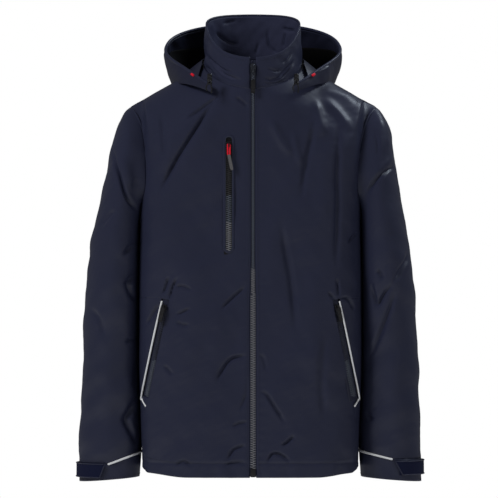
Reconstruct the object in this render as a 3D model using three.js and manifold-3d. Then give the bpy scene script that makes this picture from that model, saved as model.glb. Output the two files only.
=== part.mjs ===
// A men's foul weather jacket, closed, with its hood hanging open behind a stand-up collar.
// Millimetres, +Z up, the wearer faces -Y and the wearer's left hand is on +X.
// Heights are counted from the hem and the whole jacket is lowered at the end, so that the
// origin lies in the middle of the neck, where a body or a hanger holds the jacket up.

import * as THREE from 'three';
import Module from 'manifold-3d';

const wasm = await Module();
wasm.setup();

// ---------- driving dimensions ----------

const NECK_HEIGHT = 700; // hem to the origin
const SHELL = 2.0; // thickness of the outer cloth
const LINING = 1.4; // thickness of the inner cloths
const GAP = 0.5; // clearance between two sewn pieces

const HEM_HALF_WIDTH = 194;
const BODY_HALF_WIDTH = 200;
const CHEST_HALF_WIDTH = 197.5;
const HEM_FRONT = -120.5; // depth of the zip line at the hem
const ZIP_LEAN = 0.05; // how far the zip line leans back for each mm of height
const BACK_DEPTH = 116;
const BACK_SWELL = 12; // shoulder blades
const FRONT_POWER = 3.6; // how square the front of the body is; 2 is an ellipse
const BACK_POWER = 3.2;

const YOKE_HEIGHT = 570; // where the front and back start to slope to the neck
const SHOULDER_HEIGHT = 674;
const UNDERARM = 0.655; // share of the side's height at which the armhole starts
const ARMHOLE_HALF_DEPTH = 55;

const NECK_HALF_WIDTH = 88;
const NECK_HALF_DEPTH = 81;
const NECK_FRONT_HEIGHT = 690;
const NECK_RISE = 58; // from the front of the neck seam to its back
const COLLAR_FRONT_HEIGHT = 745;
const COLLAR_RISE = 83;
const COLLAR_TOP_HALF_WIDTH = 85.5;

const ZIP_EDGE = 5; // half the gap between the two front edges
const HEM_FACING = 26;

const PIPING_TOP = [157, 313]; // x and height of the hand pocket's piping
const PIPING_BOTTOM = [193, 141];
const PIPING_RADIUS = 1.8;
const SIDE_PANEL_TOP = 318;
const POCKET_ZIP_INSET = 8; // from the piping to the middle of the zip

const CHEST_ZIP_X = -43;
const CHEST_ZIP_BOTTOM = 400;
const CHEST_ZIP_TOP = 603;
const CHEST_SLOT_HALF_WIDTH = 8;

const CUFF_SEAM_LOW = 23; // height of the cuff seam on the outer side of the wrist
const CUFF_SEAM_RISE = 27;

const NAVY = { color: 0x232533, roughness: 0.62, metalness: 0 };
const DEEP_NAVY = { color: 0x131628, roughness: 0.7, metalness: 0 };
const BLACK_CLOTH = { color: 0x0e0e12, roughness: 0.9, metalness: 0 };
const WHITE_PIPING = { color: 0xe4e5e6, roughness: 0.45, metalness: 0 };
const BLACK_PLASTIC = { color: 0x101114, roughness: 0.4, metalness: 0 };
const GREY_COIL = { color: 0x4a4d57, roughness: 0.5, metalness: 0 };
const GUN_METAL = { color: 0x3d4150, roughness: 0.3, metalness: 0.9 };
const RED_CORD = { color: 0xd41b33, roughness: 0.6, metalness: 0 };

const { PI, sin, cos, sqrt, abs, sign, max, min } = Math;
const vec = (x, y, z) => new THREE.Vector3(x, y, z);
const lerp = THREE.MathUtils.lerp;
const jacket = new THREE.Group();

// ---------- meshes and solids ----------

function addMesh(name, geometry, look, parent = jacket) {
  const mesh = new THREE.Mesh(geometry, new THREE.MeshStandardMaterial(look));
  mesh.name = name;
  parent.add(mesh);
  return mesh;
}

function closedGeometry(positions, triangles) {
  let volume = 0;
  const corner = [vec(), vec(), vec()];
  for (let i = 0; i < triangles.length; i += 3) {
    corner.forEach((c, k) => c.fromArray(positions, 3 * triangles[i + k]));
    volume += corner[0].dot(corner[1].clone().cross(corner[2]));
  }
  if (volume < 0) {
    triangles.reverse();
  }
  const geometry = new THREE.BufferGeometry();
  geometry.setAttribute('position', new THREE.Float32BufferAttribute(positions, 3));
  geometry.setIndex(triangles);
  return geometry;
}

// A closed piece of cloth. surface(u, v) is its outer face, with u and v from 0 to 1, and
// outward is the sign that turns dS/du x dS/dv away from the wearer. The cloth's outer face
// lies depth inside the surface, and its inner face lies thickness further in.
function clothGeometry(surface, { columns, rows, depth = 0, thickness = SHELL, outward = 1 }) {
  const positions = [];
  const step = 1e-3;
  for (const inset of [depth, depth + thickness]) {
    for (let j = 0; j <= rows; j += 1) {
      for (let i = 0; i <= columns; i += 1) {
        const u = i / columns;
        const v = j / rows;
        const across = surface(min(u + step, 1), v).sub(surface(max(u - step, 0), v));
        const along = surface(u, min(v + step, 1)).sub(surface(u, max(v - step, 0)));
        const normal = across.cross(along).normalize().multiplyScalar(outward);
        positions.push(...surface(u, v).addScaledVector(normal, -inset).toArray());
      }
    }
  }
  const wide = columns + 1;
  const layer = wide * (rows + 1);
  const triangles = [];
  const quad = (a, b, c, d) => triangles.push(a, b, c, a, c, d);
  for (let j = 0; j < rows; j += 1) {
    for (let i = 0; i < columns; i += 1) {
      const a = j * wide + i;
      quad(a, a + 1, a + 1 + wide, a + wide);
      quad(layer + a + wide, layer + a + 1 + wide, layer + a + 1, layer + a);
    }
  }
  for (let i = 0; i < columns; i += 1) {
    const top = rows * wide + i;
    quad(layer + i, layer + i + 1, i + 1, i);
    quad(top, top + 1, layer + top + 1, layer + top);
  }
  for (let j = 0; j < rows; j += 1) {
    const left = j * wide;
    const right = left + columns;
    quad(left, left + wide, layer + left + wide, layer + left);
    quad(layer + right, layer + right + wide, right + wide, right);
  }
  return closedGeometry(positions, triangles);
}

function solidOf(geometry) {
  const merged = new Map();
  const points = [];
  const source = geometry.attributes.position;
  const order = geometry.index ? Array.from(geometry.index.array) : [...Array(source.count).keys()];
  const triangles = order.map((i) => {
    const point = [source.getX(i), source.getY(i), source.getZ(i)];
    const key = point.map((c) => c.toFixed(4)).join(' ');
    if (!merged.has(key)) {
      merged.set(key, points.length / 3);
      points.push(...point);
    }
    return merged.get(key);
  });
  const kept = [];
  for (let i = 0; i < triangles.length; i += 3) {
    const [a, b, c] = triangles.slice(i, i + 3);
    if (a !== b && b !== c && a !== c) {
      kept.push(a, b, c);
    }
  }
  return new wasm.Manifold(new wasm.Mesh({
    numProp: 3,
    vertProperties: Float32Array.from(points),
    triVerts: Uint32Array.from(kept),
  }));
}

function geometryOf(solid) {
  const mesh = solid.getMesh();
  return closedGeometry(Array.from(mesh.vertProperties), Array.from(mesh.triVerts));
}

function boxGeometry(from, to) {
  const size = to.map((high, k) => high - from[k]);
  const geometry = new THREE.BoxGeometry(...size);
  return geometry.translate(...to.map((high, k) => (high + from[k]) / 2));
}

// A prism that stands on the outline, given as [x, height] pairs, and runs from y = near to y = far.
function frontPrism(outline, near = -200, far = 40) {
  const shape = new THREE.Shape(outline.map(([x, z]) => new THREE.Vector2(x, z)));
  const geometry = new THREE.ExtrudeGeometry(shape, { depth: far - near, bevelEnabled: false });
  return geometry.rotateX(PI / 2).translate(0, far, 0);
}

function cordGeometry(points, radius, { sides = 8, steps = 24 } = {}) {
  const section = new THREE.Shape();
  for (let i = 0; i < sides; i += 1) {
    const angle = (2 * PI * i) / sides;
    section[i ? 'lineTo' : 'moveTo'](radius * cos(angle), radius * sin(angle));
  }
  const extrudePath = new THREE.CatmullRomCurve3(points, false, 'centripetal');
  return new THREE.ExtrudeGeometry(section, { steps, extrudePath });
}

const mirrored = (surface, side) => (u, v) => {
  const point = surface(u, v);
  point.x *= side;
  return point;
};

// The value between low and high at which rising(value) passes zero.
function solve(rising, low, high) {
  let a = low;
  let b = high;
  for (let k = 0; k < 50; k += 1) {
    const middle = (a + b) / 2;
    if (rising(middle) < 0) {
      a = middle;
    } else {
      b = middle;
    }
  }
  return (a + b) / 2;
}

const smooth = (from, to, value) => THREE.MathUtils.smoothstep(value, from, to);
const power = (value, exponent) => sign(value) * abs(value) ** exponent;

// ---------- the body's surface ----------
// phi runs round the body from 0 at the zip over PI / 2 at the wearer's left side to PI at the
// back. t is 0 at the hem, 1 at the yoke and shoulder point, and 2 at the neck seam.

const frontY = (z) => HEM_FRONT + ZIP_LEAN * z;
const backY = (z) => BACK_DEPTH + BACK_SWELL * sin((PI * z) / 900);

function halfWidth(z) {
  const waist = (BODY_HALF_WIDTH - HEM_HALF_WIDTH) * smooth(0, 220, z);
  const chest = (BODY_HALF_WIDTH - CHEST_HALF_WIDTH) * smooth(350, 520, z);
  return HEM_HALF_WIDTH + waist - chest;
}

function levelPoint(phi, z) {
  const front = cos(phi) > 0;
  const exponent = 2 / (front ? FRONT_POWER : BACK_POWER);
  const depth = front ? frontY(z) : backY(z);
  return vec(halfWidth(z) * power(sin(phi), exponent), depth * abs(cos(phi)) ** exponent, z);
}

const yokeHeight = (phi) => YOKE_HEIGHT + (SHOULDER_HEIGHT - YOKE_HEIGHT) * sin(phi) ** 6;
const towardsBack = (phi) => (1 - cos(phi)) / 2;

function neckPoint(phi) {
  const rise = NECK_RISE * (1 - (1 - towardsBack(phi)) ** 2.2);
  const centre = frontY(NECK_FRONT_HEIGHT) + NECK_HALF_DEPTH;
  const y = centre - NECK_HALF_DEPTH * cos(phi);
  return vec(NECK_HALF_WIDTH * sin(phi), y, NECK_FRONT_HEIGHT + rise);
}

function bodyPoint(phi, t) {
  if (t <= 1) {
    return levelPoint(phi, t * yokeHeight(phi));
  }
  const k = t - 1;
  const start = levelPoint(phi, yokeHeight(phi));
  const end = neckPoint(phi);
  const climb = 0.55 * cos(phi) ** 2 * (end.z - start.z);
  const lean = max(cos(phi), 0) * ZIP_LEAN * climb;
  const control = vec(start.x, start.y + lean, start.z + climb);
  const weights = [(1 - k) ** 2, 2 * k * (1 - k), k ** 2];
  return vec()
    .addScaledVector(start, weights[0])
    .addScaledVector(control, weights[1])
    .addScaledVector(end, weights[2]);
}

const phiAtX = (x, t) => solve((phi) => bodyPoint(phi, t).x - x, 0, PI / 2);
const phiInFront = (y, t) => solve((phi) => bodyPoint(phi, t).y - bodyPoint(PI / 2, t).y + y, 0, PI / 2);
const phiBehind = (y, t) => solve((phi) => bodyPoint(phi, t).y - bodyPoint(PI / 2, t).y - y, PI / 2, PI);

// The distance of the armhole's edge from the side line, 0 at the shoulder and at the underarm.
function armholeReach(t) {
  const share = THREE.MathUtils.clamp((t - UNDERARM) / (1 - UNDERARM), 0, 1);
  return ARMHOLE_HALF_DEPTH * max(sin(PI * share), 0) ** 0.75;
}

// The point of the body's front at x and height z, below the yoke.
function frontPoint(x, z) {
  const phi = solve((angle) => levelPoint(angle, z).x - abs(x), 0, PI / 2);
  const point = levelPoint(phi, z);
  point.x *= sign(x) || 1;
  return point;
}

function frontNormal(x, z) {
  const across = frontPoint(x + 0.5, z).sub(frontPoint(x - 0.5, z));
  const up = frontPoint(x, z + 0.5).sub(frontPoint(x, z - 0.5));
  return across.cross(up).normalize();
}

// ---------- shell of the body ----------

// The piping line and the lines beside it, on the front seen from -Y.
const pipingRun = new THREE.Vector2(...PIPING_BOTTOM).sub(new THREE.Vector2(...PIPING_TOP));
const outboard = new THREE.Vector2(-pipingRun.y, pipingRun.x).normalize();

function besidePiping(share, offset) {
  const x = lerp(PIPING_TOP[0], PIPING_BOTTOM[0], share) + offset * outboard.x;
  const z = lerp(PIPING_TOP[1], PIPING_BOTTOM[1], share) + offset * outboard.y;
  return [x, z];
}

const onSide = (outline, side) => outline.map(([x, z]) => [side * x, z]);

function sidePanelOutline(inset) {
  const seam = PIPING_RADIUS + inset;
  return [
    [188 + inset, -20],
    [188 + inset, 128 - inset],
    besidePiping(1, seam),
    besidePiping(0, seam),
    [158 + inset, SIDE_PANEL_TOP - inset],
    [240, SIDE_PANEL_TOP - inset],
    [240, -20],
  ];
}

function zipSlotOutline() {
  return [
    besidePiping(-0.02, PIPING_RADIUS + 0.2),
    besidePiping(1.03, PIPING_RADIUS + 0.2),
    besidePiping(1.03, -2 * POCKET_ZIP_INSET + 2),
    besidePiping(-0.02, -2 * POCKET_ZIP_INSET + 2),
  ];
}

function frontSurface(side) {
  return mirrored((u, v) => {
    const t = 2 * v;
    const inner = phiAtX(ZIP_EDGE, t);
    const outer = phiInFront(GAP / 2 + armholeReach(t), t);
    return bodyPoint(lerp(inner, outer, u), t);
  }, side);
}

function addFrontAndSide(name, side) {
  const cloth = clothGeometry(frontSurface(side), { columns: 8, rows: 16, outward: side });
  const whole = solidOf(cloth);
  const slot = solidOf(frontPrism(onSide(zipSlotOutline(), side)));
  const panelEdge = solidOf(frontPrism(onSide(sidePanelOutline(0), side)));
  const sideEdge = solidOf(frontPrism(onSide(sidePanelOutline(GAP), side)));
  let front = whole.subtract(panelEdge).subtract(slot);
  if (side < 0) {
    const low = [CHEST_ZIP_X - CHEST_SLOT_HALF_WIDTH, -130, CHEST_ZIP_BOTTOM];
    const high = [CHEST_ZIP_X + CHEST_SLOT_HALF_WIDTH, -60, CHEST_ZIP_TOP];
    front = front.subtract(solidOf(boxGeometry(low, high)));
  }
  addMesh(`front_panel_${name}`, geometryOf(front), NAVY);
  addMesh(`side_panel_${name}`, geometryOf(whole.intersect(sideEdge).subtract(slot)), NAVY);
}

function addBackPanel() {
  const surface = (u, v) => {
    const t = 2 * v;
    const left = phiBehind(GAP / 2 + armholeReach(t), t);
    return bodyPoint(lerp(left, 2 * PI - left, u), t);
  };
  addMesh('back_panel', clothGeometry(surface, { columns: 12, rows: 14 }), NAVY);
}

// ---------- linings, facings and bags inside ----------

function addLinings() {
  const look = BLACK_CLOTH;
  const from = 0.1;
  const to = 1.85;
  const back = (u, v) => {
    const t = lerp(from, to, v);
    const left = phiBehind(2 + armholeReach(t), t);
    return bodyPoint(lerp(left, 2 * PI - left, u), t);
  };
  const inside = { depth: 11, thickness: LINING };
  addMesh('back_lining', clothGeometry(back, { columns: 8, rows: 9, ...inside }), look);
  for (const [name, side] of [['right', -1], ['left', 1]]) {
    const front = mirrored((u, v) => {
      const t = lerp(from, to, v);
      const inner = phiAtX(26, t);
      const outer = phiInFront(2 + armholeReach(t), t);
      return bodyPoint(lerp(inner, outer, u), t);
    }, side);
    const options = { columns: 5, rows: 9, outward: side, ...inside };
    addMesh(`front_lining_${name}`, clothGeometry(front, options), look);
  }
}

function addHemFacing() {
  const surface = (u, v) => {
    const t = lerp(1, HEM_FACING, v) / YOKE_HEIGHT;
    const start = phiAtX(18, t);
    return bodyPoint(lerp(start, 2 * PI - start, u), t);
  };
  const inside = { depth: SHELL + 3, thickness: LINING };
  addMesh('hem_facing', clothGeometry(surface, { columns: 28, rows: 1, ...inside }), NAVY);
}

// A flat cloth bag hung inside the front between two x values and two heights.
function bagGeometry(side, [nearX, farX], [low, high]) {
  const surface = mirrored((u, v) => frontPoint(lerp(nearX, farX, u), lerp(low, high, v)), side);
  const inside = { depth: 5.5, thickness: 2 * LINING };
  return clothGeometry(surface, { columns: 4, rows: 4, outward: side, ...inside });
}

function addPocketBags() {
  addMesh('hand_pocket_bag_right', bagGeometry(-1, [70, 178], [70, 300]), BLACK_CLOTH);
  addMesh('hand_pocket_bag_left', bagGeometry(1, [70, 178], [70, 300]), BLACK_CLOTH);
  addMesh('chest_pocket_bag', bagGeometry(-1, [40, 130], [385, 560]), BLACK_CLOTH);
}

// ---------- collar ----------

function collarSurface(frontEdge) {
  return (u, v) => {
    const start = Math.asin(frontEdge / NECK_HALF_WIDTH);
    const phi = lerp(start, 2 * PI - start, u);
    const seam = neckPoint(phi);
    const rise = COLLAR_RISE * (1 - (1 - towardsBack(phi)) ** 2.3);
    const front = frontY(COLLAR_FRONT_HEIGHT);
    const centre = (front + 80) / 2;
    const y = centre - (80 - centre) * cos(phi);
    const rim = vec(COLLAR_TOP_HALF_WIDTH * sin(phi), y, COLLAR_FRONT_HEIGHT + rise);
    const start2 = seam.lerp(rim, GAP / 60);
    return start2.lerp(rim, v);
  };
}

function addCollar() {
  const outer = clothGeometry(collarSurface(ZIP_EDGE), { columns: 20, rows: 3 });
  addMesh('collar_outer', outer, NAVY);
  const inside = { depth: SHELL + 2.2, thickness: LINING };
  const lining = clothGeometry(collarSurface(19), { columns: 20, rows: 3, ...inside });
  addMesh('collar_lining', lining, NAVY);
  const loopPoints = [[-32, 61, 752], [-22, 56, 741], [0, 53, 737], [22, 56, 741], [32, 61, 752]];
  const loopCurve = loopPoints.map((p) => vec(...p));
  addMesh('hanger_loop', cordGeometry(loopCurve, 2, { steps: 14 }), BLACK_CLOTH);
}

// ---------- sleeves ----------
// s runs from 0 at the armhole to 1 at the cuff's edge; psi runs round the sleeve from 0 on its
// outer side over PI / 2 in front to PI on the side that faces the body.

// Inner x and height, outer x and height, and half the depth of the sleeve's section.
const SLEEVE_STATIONS = [
  [199.2, 441, 198.6, 674, 55],
  [201.5, 433, 229.5, 653, 62],
  [202.5, 422, 248, 608, 68],
  [203, 406, 261, 545, 72],
  [203.5, 372, 275, 470, 74],
  [204, 305, 289, 385, 71],
  [204, 220, 297, 280, 66],
  [203.5, 130, 303, 145, 61],
  [203, 60, 307, 50, 58],
  [202, -3, 308, -12, 56],
];
const SLEEVE_START_GAP = 0.8;

function stationAt(s) {
  const last = SLEEVE_STATIONS.length - 1;
  const place = THREE.MathUtils.clamp(s, 0, 1) * last;
  const i = min(Math.floor(place), last - 1);
  const k = place - i;
  const row = (n) => SLEEVE_STATIONS[THREE.MathUtils.clamp(n, 0, last)];
  return row(i).map((p1, c) => {
    const [p0, p2, p3] = [row(i - 1)[c], row(i + 1)[c], row(i + 2)[c]];
    const slope1 = (p2 - p0) / 2;
    const slope2 = (p3 - p1) / 2;
    const square = k * k;
    const cube = square * k;
    return (2 * cube - 3 * square + 1) * p1 + (cube - 2 * square + k) * slope1
      + (3 * square - 2 * cube) * p2 + (cube - square) * slope2;
  });
}

function sleeveRing(s, psi) {
  const [innerX, innerZ, outerX, outerZ, halfDepth] = stationAt(s);
  const k = (1 + cos(psi)) / 2;
  return vec(lerp(innerX, outerX, k), -halfDepth * sin(psi), lerp(innerZ, outerZ, k));
}

function armholePoint(psi) {
  const turn = THREE.MathUtils.euclideanModulo(psi, 2 * PI);
  const inFront = turn <= PI;
  const t = lerp(1, UNDERARM, inFront ? turn / PI : (2 * PI - turn) / PI);
  const reach = armholeReach(t);
  const phi = inFront ? phiInFront(reach, t) : phiBehind(reach, t);
  return bodyPoint(phi, t).add(vec(SLEEVE_START_GAP, 0, 0));
}

function sleevePoint(s, psi) {
  const point = sleeveRing(s, psi);
  const fade = max(1 - s / 0.14, 0) ** 2;
  if (fade > 0) {
    point.add(armholePoint(psi).sub(sleeveRing(0, psi)).multiplyScalar(fade));
  }
  return point;
}

const cuffSeamHeight = (psi) => CUFF_SEAM_LOW + CUFF_SEAM_RISE * max(-cos(psi), 0);
const sleeveAtHeight = (z, psi) => solve((s) => z - sleevePoint(s, psi).z, 0.6, 1);

function onSleeve(psi, z, offset = 0) {
  const s = sleeveAtHeight(z, psi);
  const around = sleevePoint(s, psi + 0.01).sub(sleevePoint(s, psi - 0.01));
  const along = sleevePoint(min(s + 0.005, 1), psi).sub(sleevePoint(s - 0.005, psi));
  return sleevePoint(s, psi).addScaledVector(around.cross(along).normalize(), offset);
}

// A strip that lies on the sleeve between two angles and two heights.
function sleeveStrip(psiFrom, psiTo, lowAt, highAt, { columns, offset, thickness, side }) {
  const surface = mirrored((u, v) => {
    const psi = lerp(psiFrom, psiTo, u);
    return onSleeve(psi, lerp(highAt(u), lowAt(u), v), offset);
  }, side);
  return clothGeometry(surface, { columns, rows: 1, thickness, outward: side });
}

function addSleeve(name, side) {
  const seam = 0.004;
  const halves = { front: [seam, PI - seam], back: [PI + seam, 2 * PI - seam] };
  for (const [half, [from, to]] of Object.entries(halves)) {
    const surface = mirrored((u, v) => {
      const psi = lerp(from, to, u);
      const end = sleeveAtHeight(cuffSeamHeight(psi) + GAP / 2, psi);
      return sleevePoint(v * end, psi);
    }, side);
    const options = { columns: 8, rows: 15, outward: side };
    addMesh(`sleeve_${half}_${name}`, clothGeometry(surface, options), NAVY);
  }
  const cuff = mirrored((u, v) => {
    const psi = lerp(seam, 2 * PI - seam, u);
    const start = sleeveAtHeight(cuffSeamHeight(psi) - GAP / 2, psi);
    return sleevePoint(lerp(start, 1, v), psi);
  }, side);
  addMesh(`cuff_${name}`, clothGeometry(cuff, { columns: 20, rows: 1, outward: side }), NAVY);

  const pipingPoints = [];
  for (let k = 0; k <= 8; k += 1) {
    const psi = lerp(0.5 * PI, 1.02 * PI, k / 8);
    const point = onSleeve(psi, cuffSeamHeight(psi), PIPING_RADIUS + 0.4);
    pipingPoints.push(point.multiply(vec(side, 1, 1)));
  }
  addMesh(`cuff_piping_${name}`, cordGeometry(pipingPoints, PIPING_RADIUS, { steps: 10 }), WHITE_PIPING);

  const patch = { columns: 8, offset: 2.2, thickness: 1.6, side };
  const patchGeometry = sleeveStrip(-0.28 * PI, 0.42 * PI, () => 1, () => 17, patch);
  addMesh(`cuff_loop_patch_${name}`, patchGeometry, DEEP_NAVY);
  const tab = { columns: 8, offset: 5.4, thickness: 2, side };
  const slant = (u) => 22 - 12 * smooth(0.86, 1, u);
  const tabGeometry = sleeveStrip(-0.3 * PI, 0.47 * PI, () => -2, slant, tab);
  addMesh(`cuff_tab_${name}`, tabGeometry, DEEP_NAVY);
}

// ---------- zip fasteners ----------
// Each fastener is built in its own group: x across it, y away from the wearer and z up along
// it, with y = 0 on the outer face of the cloth.

function fastenerGroup(origin, up, outwards) {
  const group = new THREE.Group();
  const along = up.clone().normalize();
  const across = outwards.clone().cross(along).normalize();
  const out = along.clone().cross(across);
  group.quaternion.setFromRotationMatrix(new THREE.Matrix4().makeBasis(across, out, along));
  group.position.copy(origin);
  jacket.add(group);
  return group;
}

// A slider with a lengthwise bridge, under which the puller's crossbar turns. top is the
// height of the slider's upper end and floor the level of its underside.
function sliderGeometry({ width, length, top, floor }) {
  const half = width / 2;
  const outline = new THREE.Shape();
  outline.moveTo(-half, top - 2);
  outline.lineTo(-half + 2, top);
  outline.lineTo(half - 2, top);
  outline.lineTo(half, top - 2);
  outline.lineTo(0.72 * half, top - length);
  outline.lineTo(-0.72 * half, top - length);
  outline.closePath();
  const plate = new THREE.ExtrudeGeometry(outline, { depth: 2.4, bevelEnabled: false });
  plate.rotateX(PI / 2).translate(0, floor + 2.4, 0);
  const middle = top - length / 2;
  const reach = 0.36 * length;
  const roof = floor + 2.4 + 3.4;
  const bar = boxGeometry([-1.4, roof, middle - reach], [1.4, roof + 1.2, middle + reach]);
  const foot = (z) => boxGeometry([-1.4, floor + 2, z - 0.7], [1.4, roof + 0.6, z + 0.7]);
  const lowFoot = solidOf(foot(middle - reach + 0.7));
  const highFoot = solidOf(foot(middle + reach - 0.7));
  return geometryOf(solidOf(plate).add(solidOf(bar)).add(lowFoot).add(highFoot));
}

// A wire puller: a closed frame that hangs from its crossbar at the given height and level.
function pullerGeometry({ width, length, wire, pivot, level }) {
  const half = width / 2;
  const outline = new THREE.Shape();
  outline.moveTo(-half, pivot + wire / 2);
  outline.lineTo(half, pivot + wire / 2);
  outline.lineTo(half, pivot - length + 2);
  outline.lineTo(half - 2, pivot - length);
  outline.lineTo(-half + 2, pivot - length);
  outline.lineTo(-half, pivot - length + 2);
  outline.closePath();
  const hole = new THREE.Path();
  hole.moveTo(-half + wire, pivot - wire / 2);
  hole.lineTo(-half + wire, pivot - length + wire + 1);
  hole.lineTo(half - wire, pivot - length + wire + 1);
  hole.lineTo(half - wire, pivot - wire / 2);
  outline.holes.push(hole);
  const geometry = new THREE.ExtrudeGeometry(outline, { depth: wire, bevelEnabled: false });
  return geometry.rotateX(PI / 2).translate(0, level + wire / 2, 0);
}

function addSliderAndPuller(group, name, spec) {
  const { width, length, top, floor, pullerLength, pullerLook, tailLength } = spec;
  const pivot = top - length / 2;
  const level = floor + 2.4 + 1.7;
  const wire = 1.4;
  const pullerWidth = min(width - 1, 8);
  addMesh(`${name}_slider`, sliderGeometry({ width, length, top, floor }), GUN_METAL, group);
  const puller = pullerGeometry({ width: pullerWidth, length: pullerLength, wire, pivot, level });
  addMesh(`${name}_puller`, puller, pullerLook, group);
  if (tailLength) {
    const tailTop = pivot - pullerLength - 0.3;
    const low = [-pullerWidth / 2, level - 0.9, tailTop - tailLength];
    const tail = boxGeometry(low, [pullerWidth / 2, level + 0.9, tailTop]);
    addMesh(`${name}_pull_tail`, tail, BLACK_PLASTIC, group);
  }
}

function addMainZip() {
  const group = fastenerGroup(vec(0, HEM_FRONT, 0), vec(0, ZIP_LEAN, 1), vec(0, -1, 0));
  const top = 742;
  const tapeLevels = [-SHELL - 2.5, -SHELL - 1.5];
  for (const [name, side] of [['right', 1], ['left', -1]]) {
    const ends = [side * 0.3, side * 10].sort((a, b) => a - b);
    const tape = boxGeometry([ends[0], tapeLevels[0], 2], [ends[1], tapeLevels[1], top]);
    addMesh(`main_zip_tape_${name}`, tape, DEEP_NAVY, group);
  }
  const coil = boxGeometry([-3, tapeLevels[1] + 0.3, 17], [3, 0.8, top]);
  addMesh('main_zip_coil', coil, GREY_COIL, group);
  const box = boxGeometry([-4.6, tapeLevels[1] + 0.3, 1], [4.6, 2.2, 16.6]);
  addMesh('main_zip_bottom_box', box, BLACK_PLASTIC, group);
  const flap = boxGeometry([-18, -9.4, 6], [18, -8.2, top - 6]);
  addMesh('storm_flap', flap, NAVY, group);
  addSliderAndPuller(group, 'main_zip', {
    width: 11, length: 19, top: 736, floor: 1.1, pullerLength: 22, pullerLook: GUN_METAL, tailLength: 25,
  });
}

// A pocket zip of the given length, whose lower end is at the group's origin.
function addPocketZip(group, name, { length, tapeHalf, pullerLength, pullerLook, tailLength }) {
  const tape = boxGeometry([-tapeHalf, -1.6, 0], [tapeHalf, -0.4, length]);
  addMesh(`${name}_tape`, tape, DEEP_NAVY, group);
  const coil = boxGeometry([-2.4, -0.1, 4], [2.4, 1.2, length - 4]);
  addMesh(`${name}_coil`, coil, GREY_COIL, group);
  addSliderAndPuller(group, name, {
    width: 8, length: 13, top: length - 5, floor: 1.5, pullerLength, pullerLook, tailLength,
  });
}

function addChestZip() {
  const low = vec(CHEST_ZIP_X, frontY(CHEST_ZIP_BOTTOM) + 0.4, CHEST_ZIP_BOTTOM + 0.5);
  const group = fastenerGroup(low, vec(0, ZIP_LEAN, 1), vec(0, -1, 0));
  addPocketZip(group, 'chest_zip', {
    length: CHEST_ZIP_TOP - CHEST_ZIP_BOTTOM - 1.5,
    tapeHalf: CHEST_SLOT_HALF_WIDTH - 0.5,
    pullerLength: 18,
    pullerLook: RED_CORD,
    tailLength: 28,
  });
}

function addHandPocketZip(name, side) {
  const [topX, topZ] = besidePiping(0, -POCKET_ZIP_INSET);
  const [bottomX, bottomZ] = besidePiping(1, -POCKET_ZIP_INSET);
  const top = frontPoint(side * topX, topZ);
  const bottom = frontPoint(side * bottomX, bottomZ);
  const middle = frontNormal(side * (topX + bottomX) / 2, (topZ + bottomZ) / 2);
  const up = top.clone().sub(bottom);
  const lift = 1.5;
  const group = fastenerGroup(bottom.addScaledVector(middle, lift), up, middle);
  addPocketZip(group, `hand_zip_${name}`, {
    length: up.length(),
    tapeHalf: 5,
    pullerLength: 27,
    pullerLook: BLACK_PLASTIC,
  });

  const route = [
    [PIPING_TOP[0] - 4, PIPING_TOP[1] - 9],
    [PIPING_TOP[0] - 2.5, PIPING_TOP[1] - 1],
    [PIPING_TOP[0] + 1.5, PIPING_TOP[1] - 4],
    besidePiping(0.3, 1),
    besidePiping(0.65, 1),
    [PIPING_BOTTOM[0], PIPING_BOTTOM[1] + 2],
    [PIPING_BOTTOM[0] - 1.5, PIPING_BOTTOM[1] - 5],
    [185, 125],
  ];
  const points = route.slice(2).map(([x, z]) => {
    const normal = frontNormal(side * x, z);
    return frontPoint(side * x, z).addScaledVector(normal, PIPING_RADIUS + 1.2);
  });
  const piping = cordGeometry(points, PIPING_RADIUS, { steps: 16 });
  addMesh(`hand_pocket_piping_${name}`, piping, WHITE_PIPING);
}

// ---------- hood ----------
// The hood hangs open behind the collar. p runs along its rim from 0 at the tip beside the
// zip to 1 at the middle of the back, and q from 0 at the rim to 1 at its lowest edge.

const RIM = new THREE.CatmullRomCurve3([
  vec(73, -84, 696), vec(93, -70, 708), vec(120, -42, 727), vec(150, -5, 748), vec(160, 30, 765),
  vec(150, 66, 786), vec(122, 98, 802), vec(74, 120, 813), vec(0, 127, 818),
]);
const LOW_EDGE = new THREE.CatmullRomCurve3([
  vec(72, -86, 685), vec(94, -72, 698), vec(121, -46, 711), vec(147, -6, 712), vec(154, 36, 708),
  vec(142, 78, 697), vec(108, 118, 680), vec(58, 142, 664), vec(0, 148, 659),
]);

function hoodPoint(p, q) {
  const side = sign(p) || 1;
  const along = min(abs(p), 1);
  const rim = RIM.getPoint(along);
  const low = LOW_EDGE.getPoint(along);
  const point = rim.clone().lerp(low, q);
  const away = vec(point.x, point.y, 0).normalize();
  const swell = 4 * q * (1 - q) * lerp(1, 26, smooth(0.35, 1, along));
  point.addScaledVector(away, swell);
  point.x *= side;
  return point;
}

// A stretch of the hood's cloth from place a to place b; -1 and 1 are the two tips and 0 is
// the middle of the back.
function hoodSurface(a, b, qFrom = 0, qTo = 1) {
  return (u, v) => {
    const place = lerp(a, b, u);
    const along = 1 - abs(place);
    return hoodPoint(place < 0 ? -along || -1e-9 : along, lerp(qFrom, qTo, v));
  };
}

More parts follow.
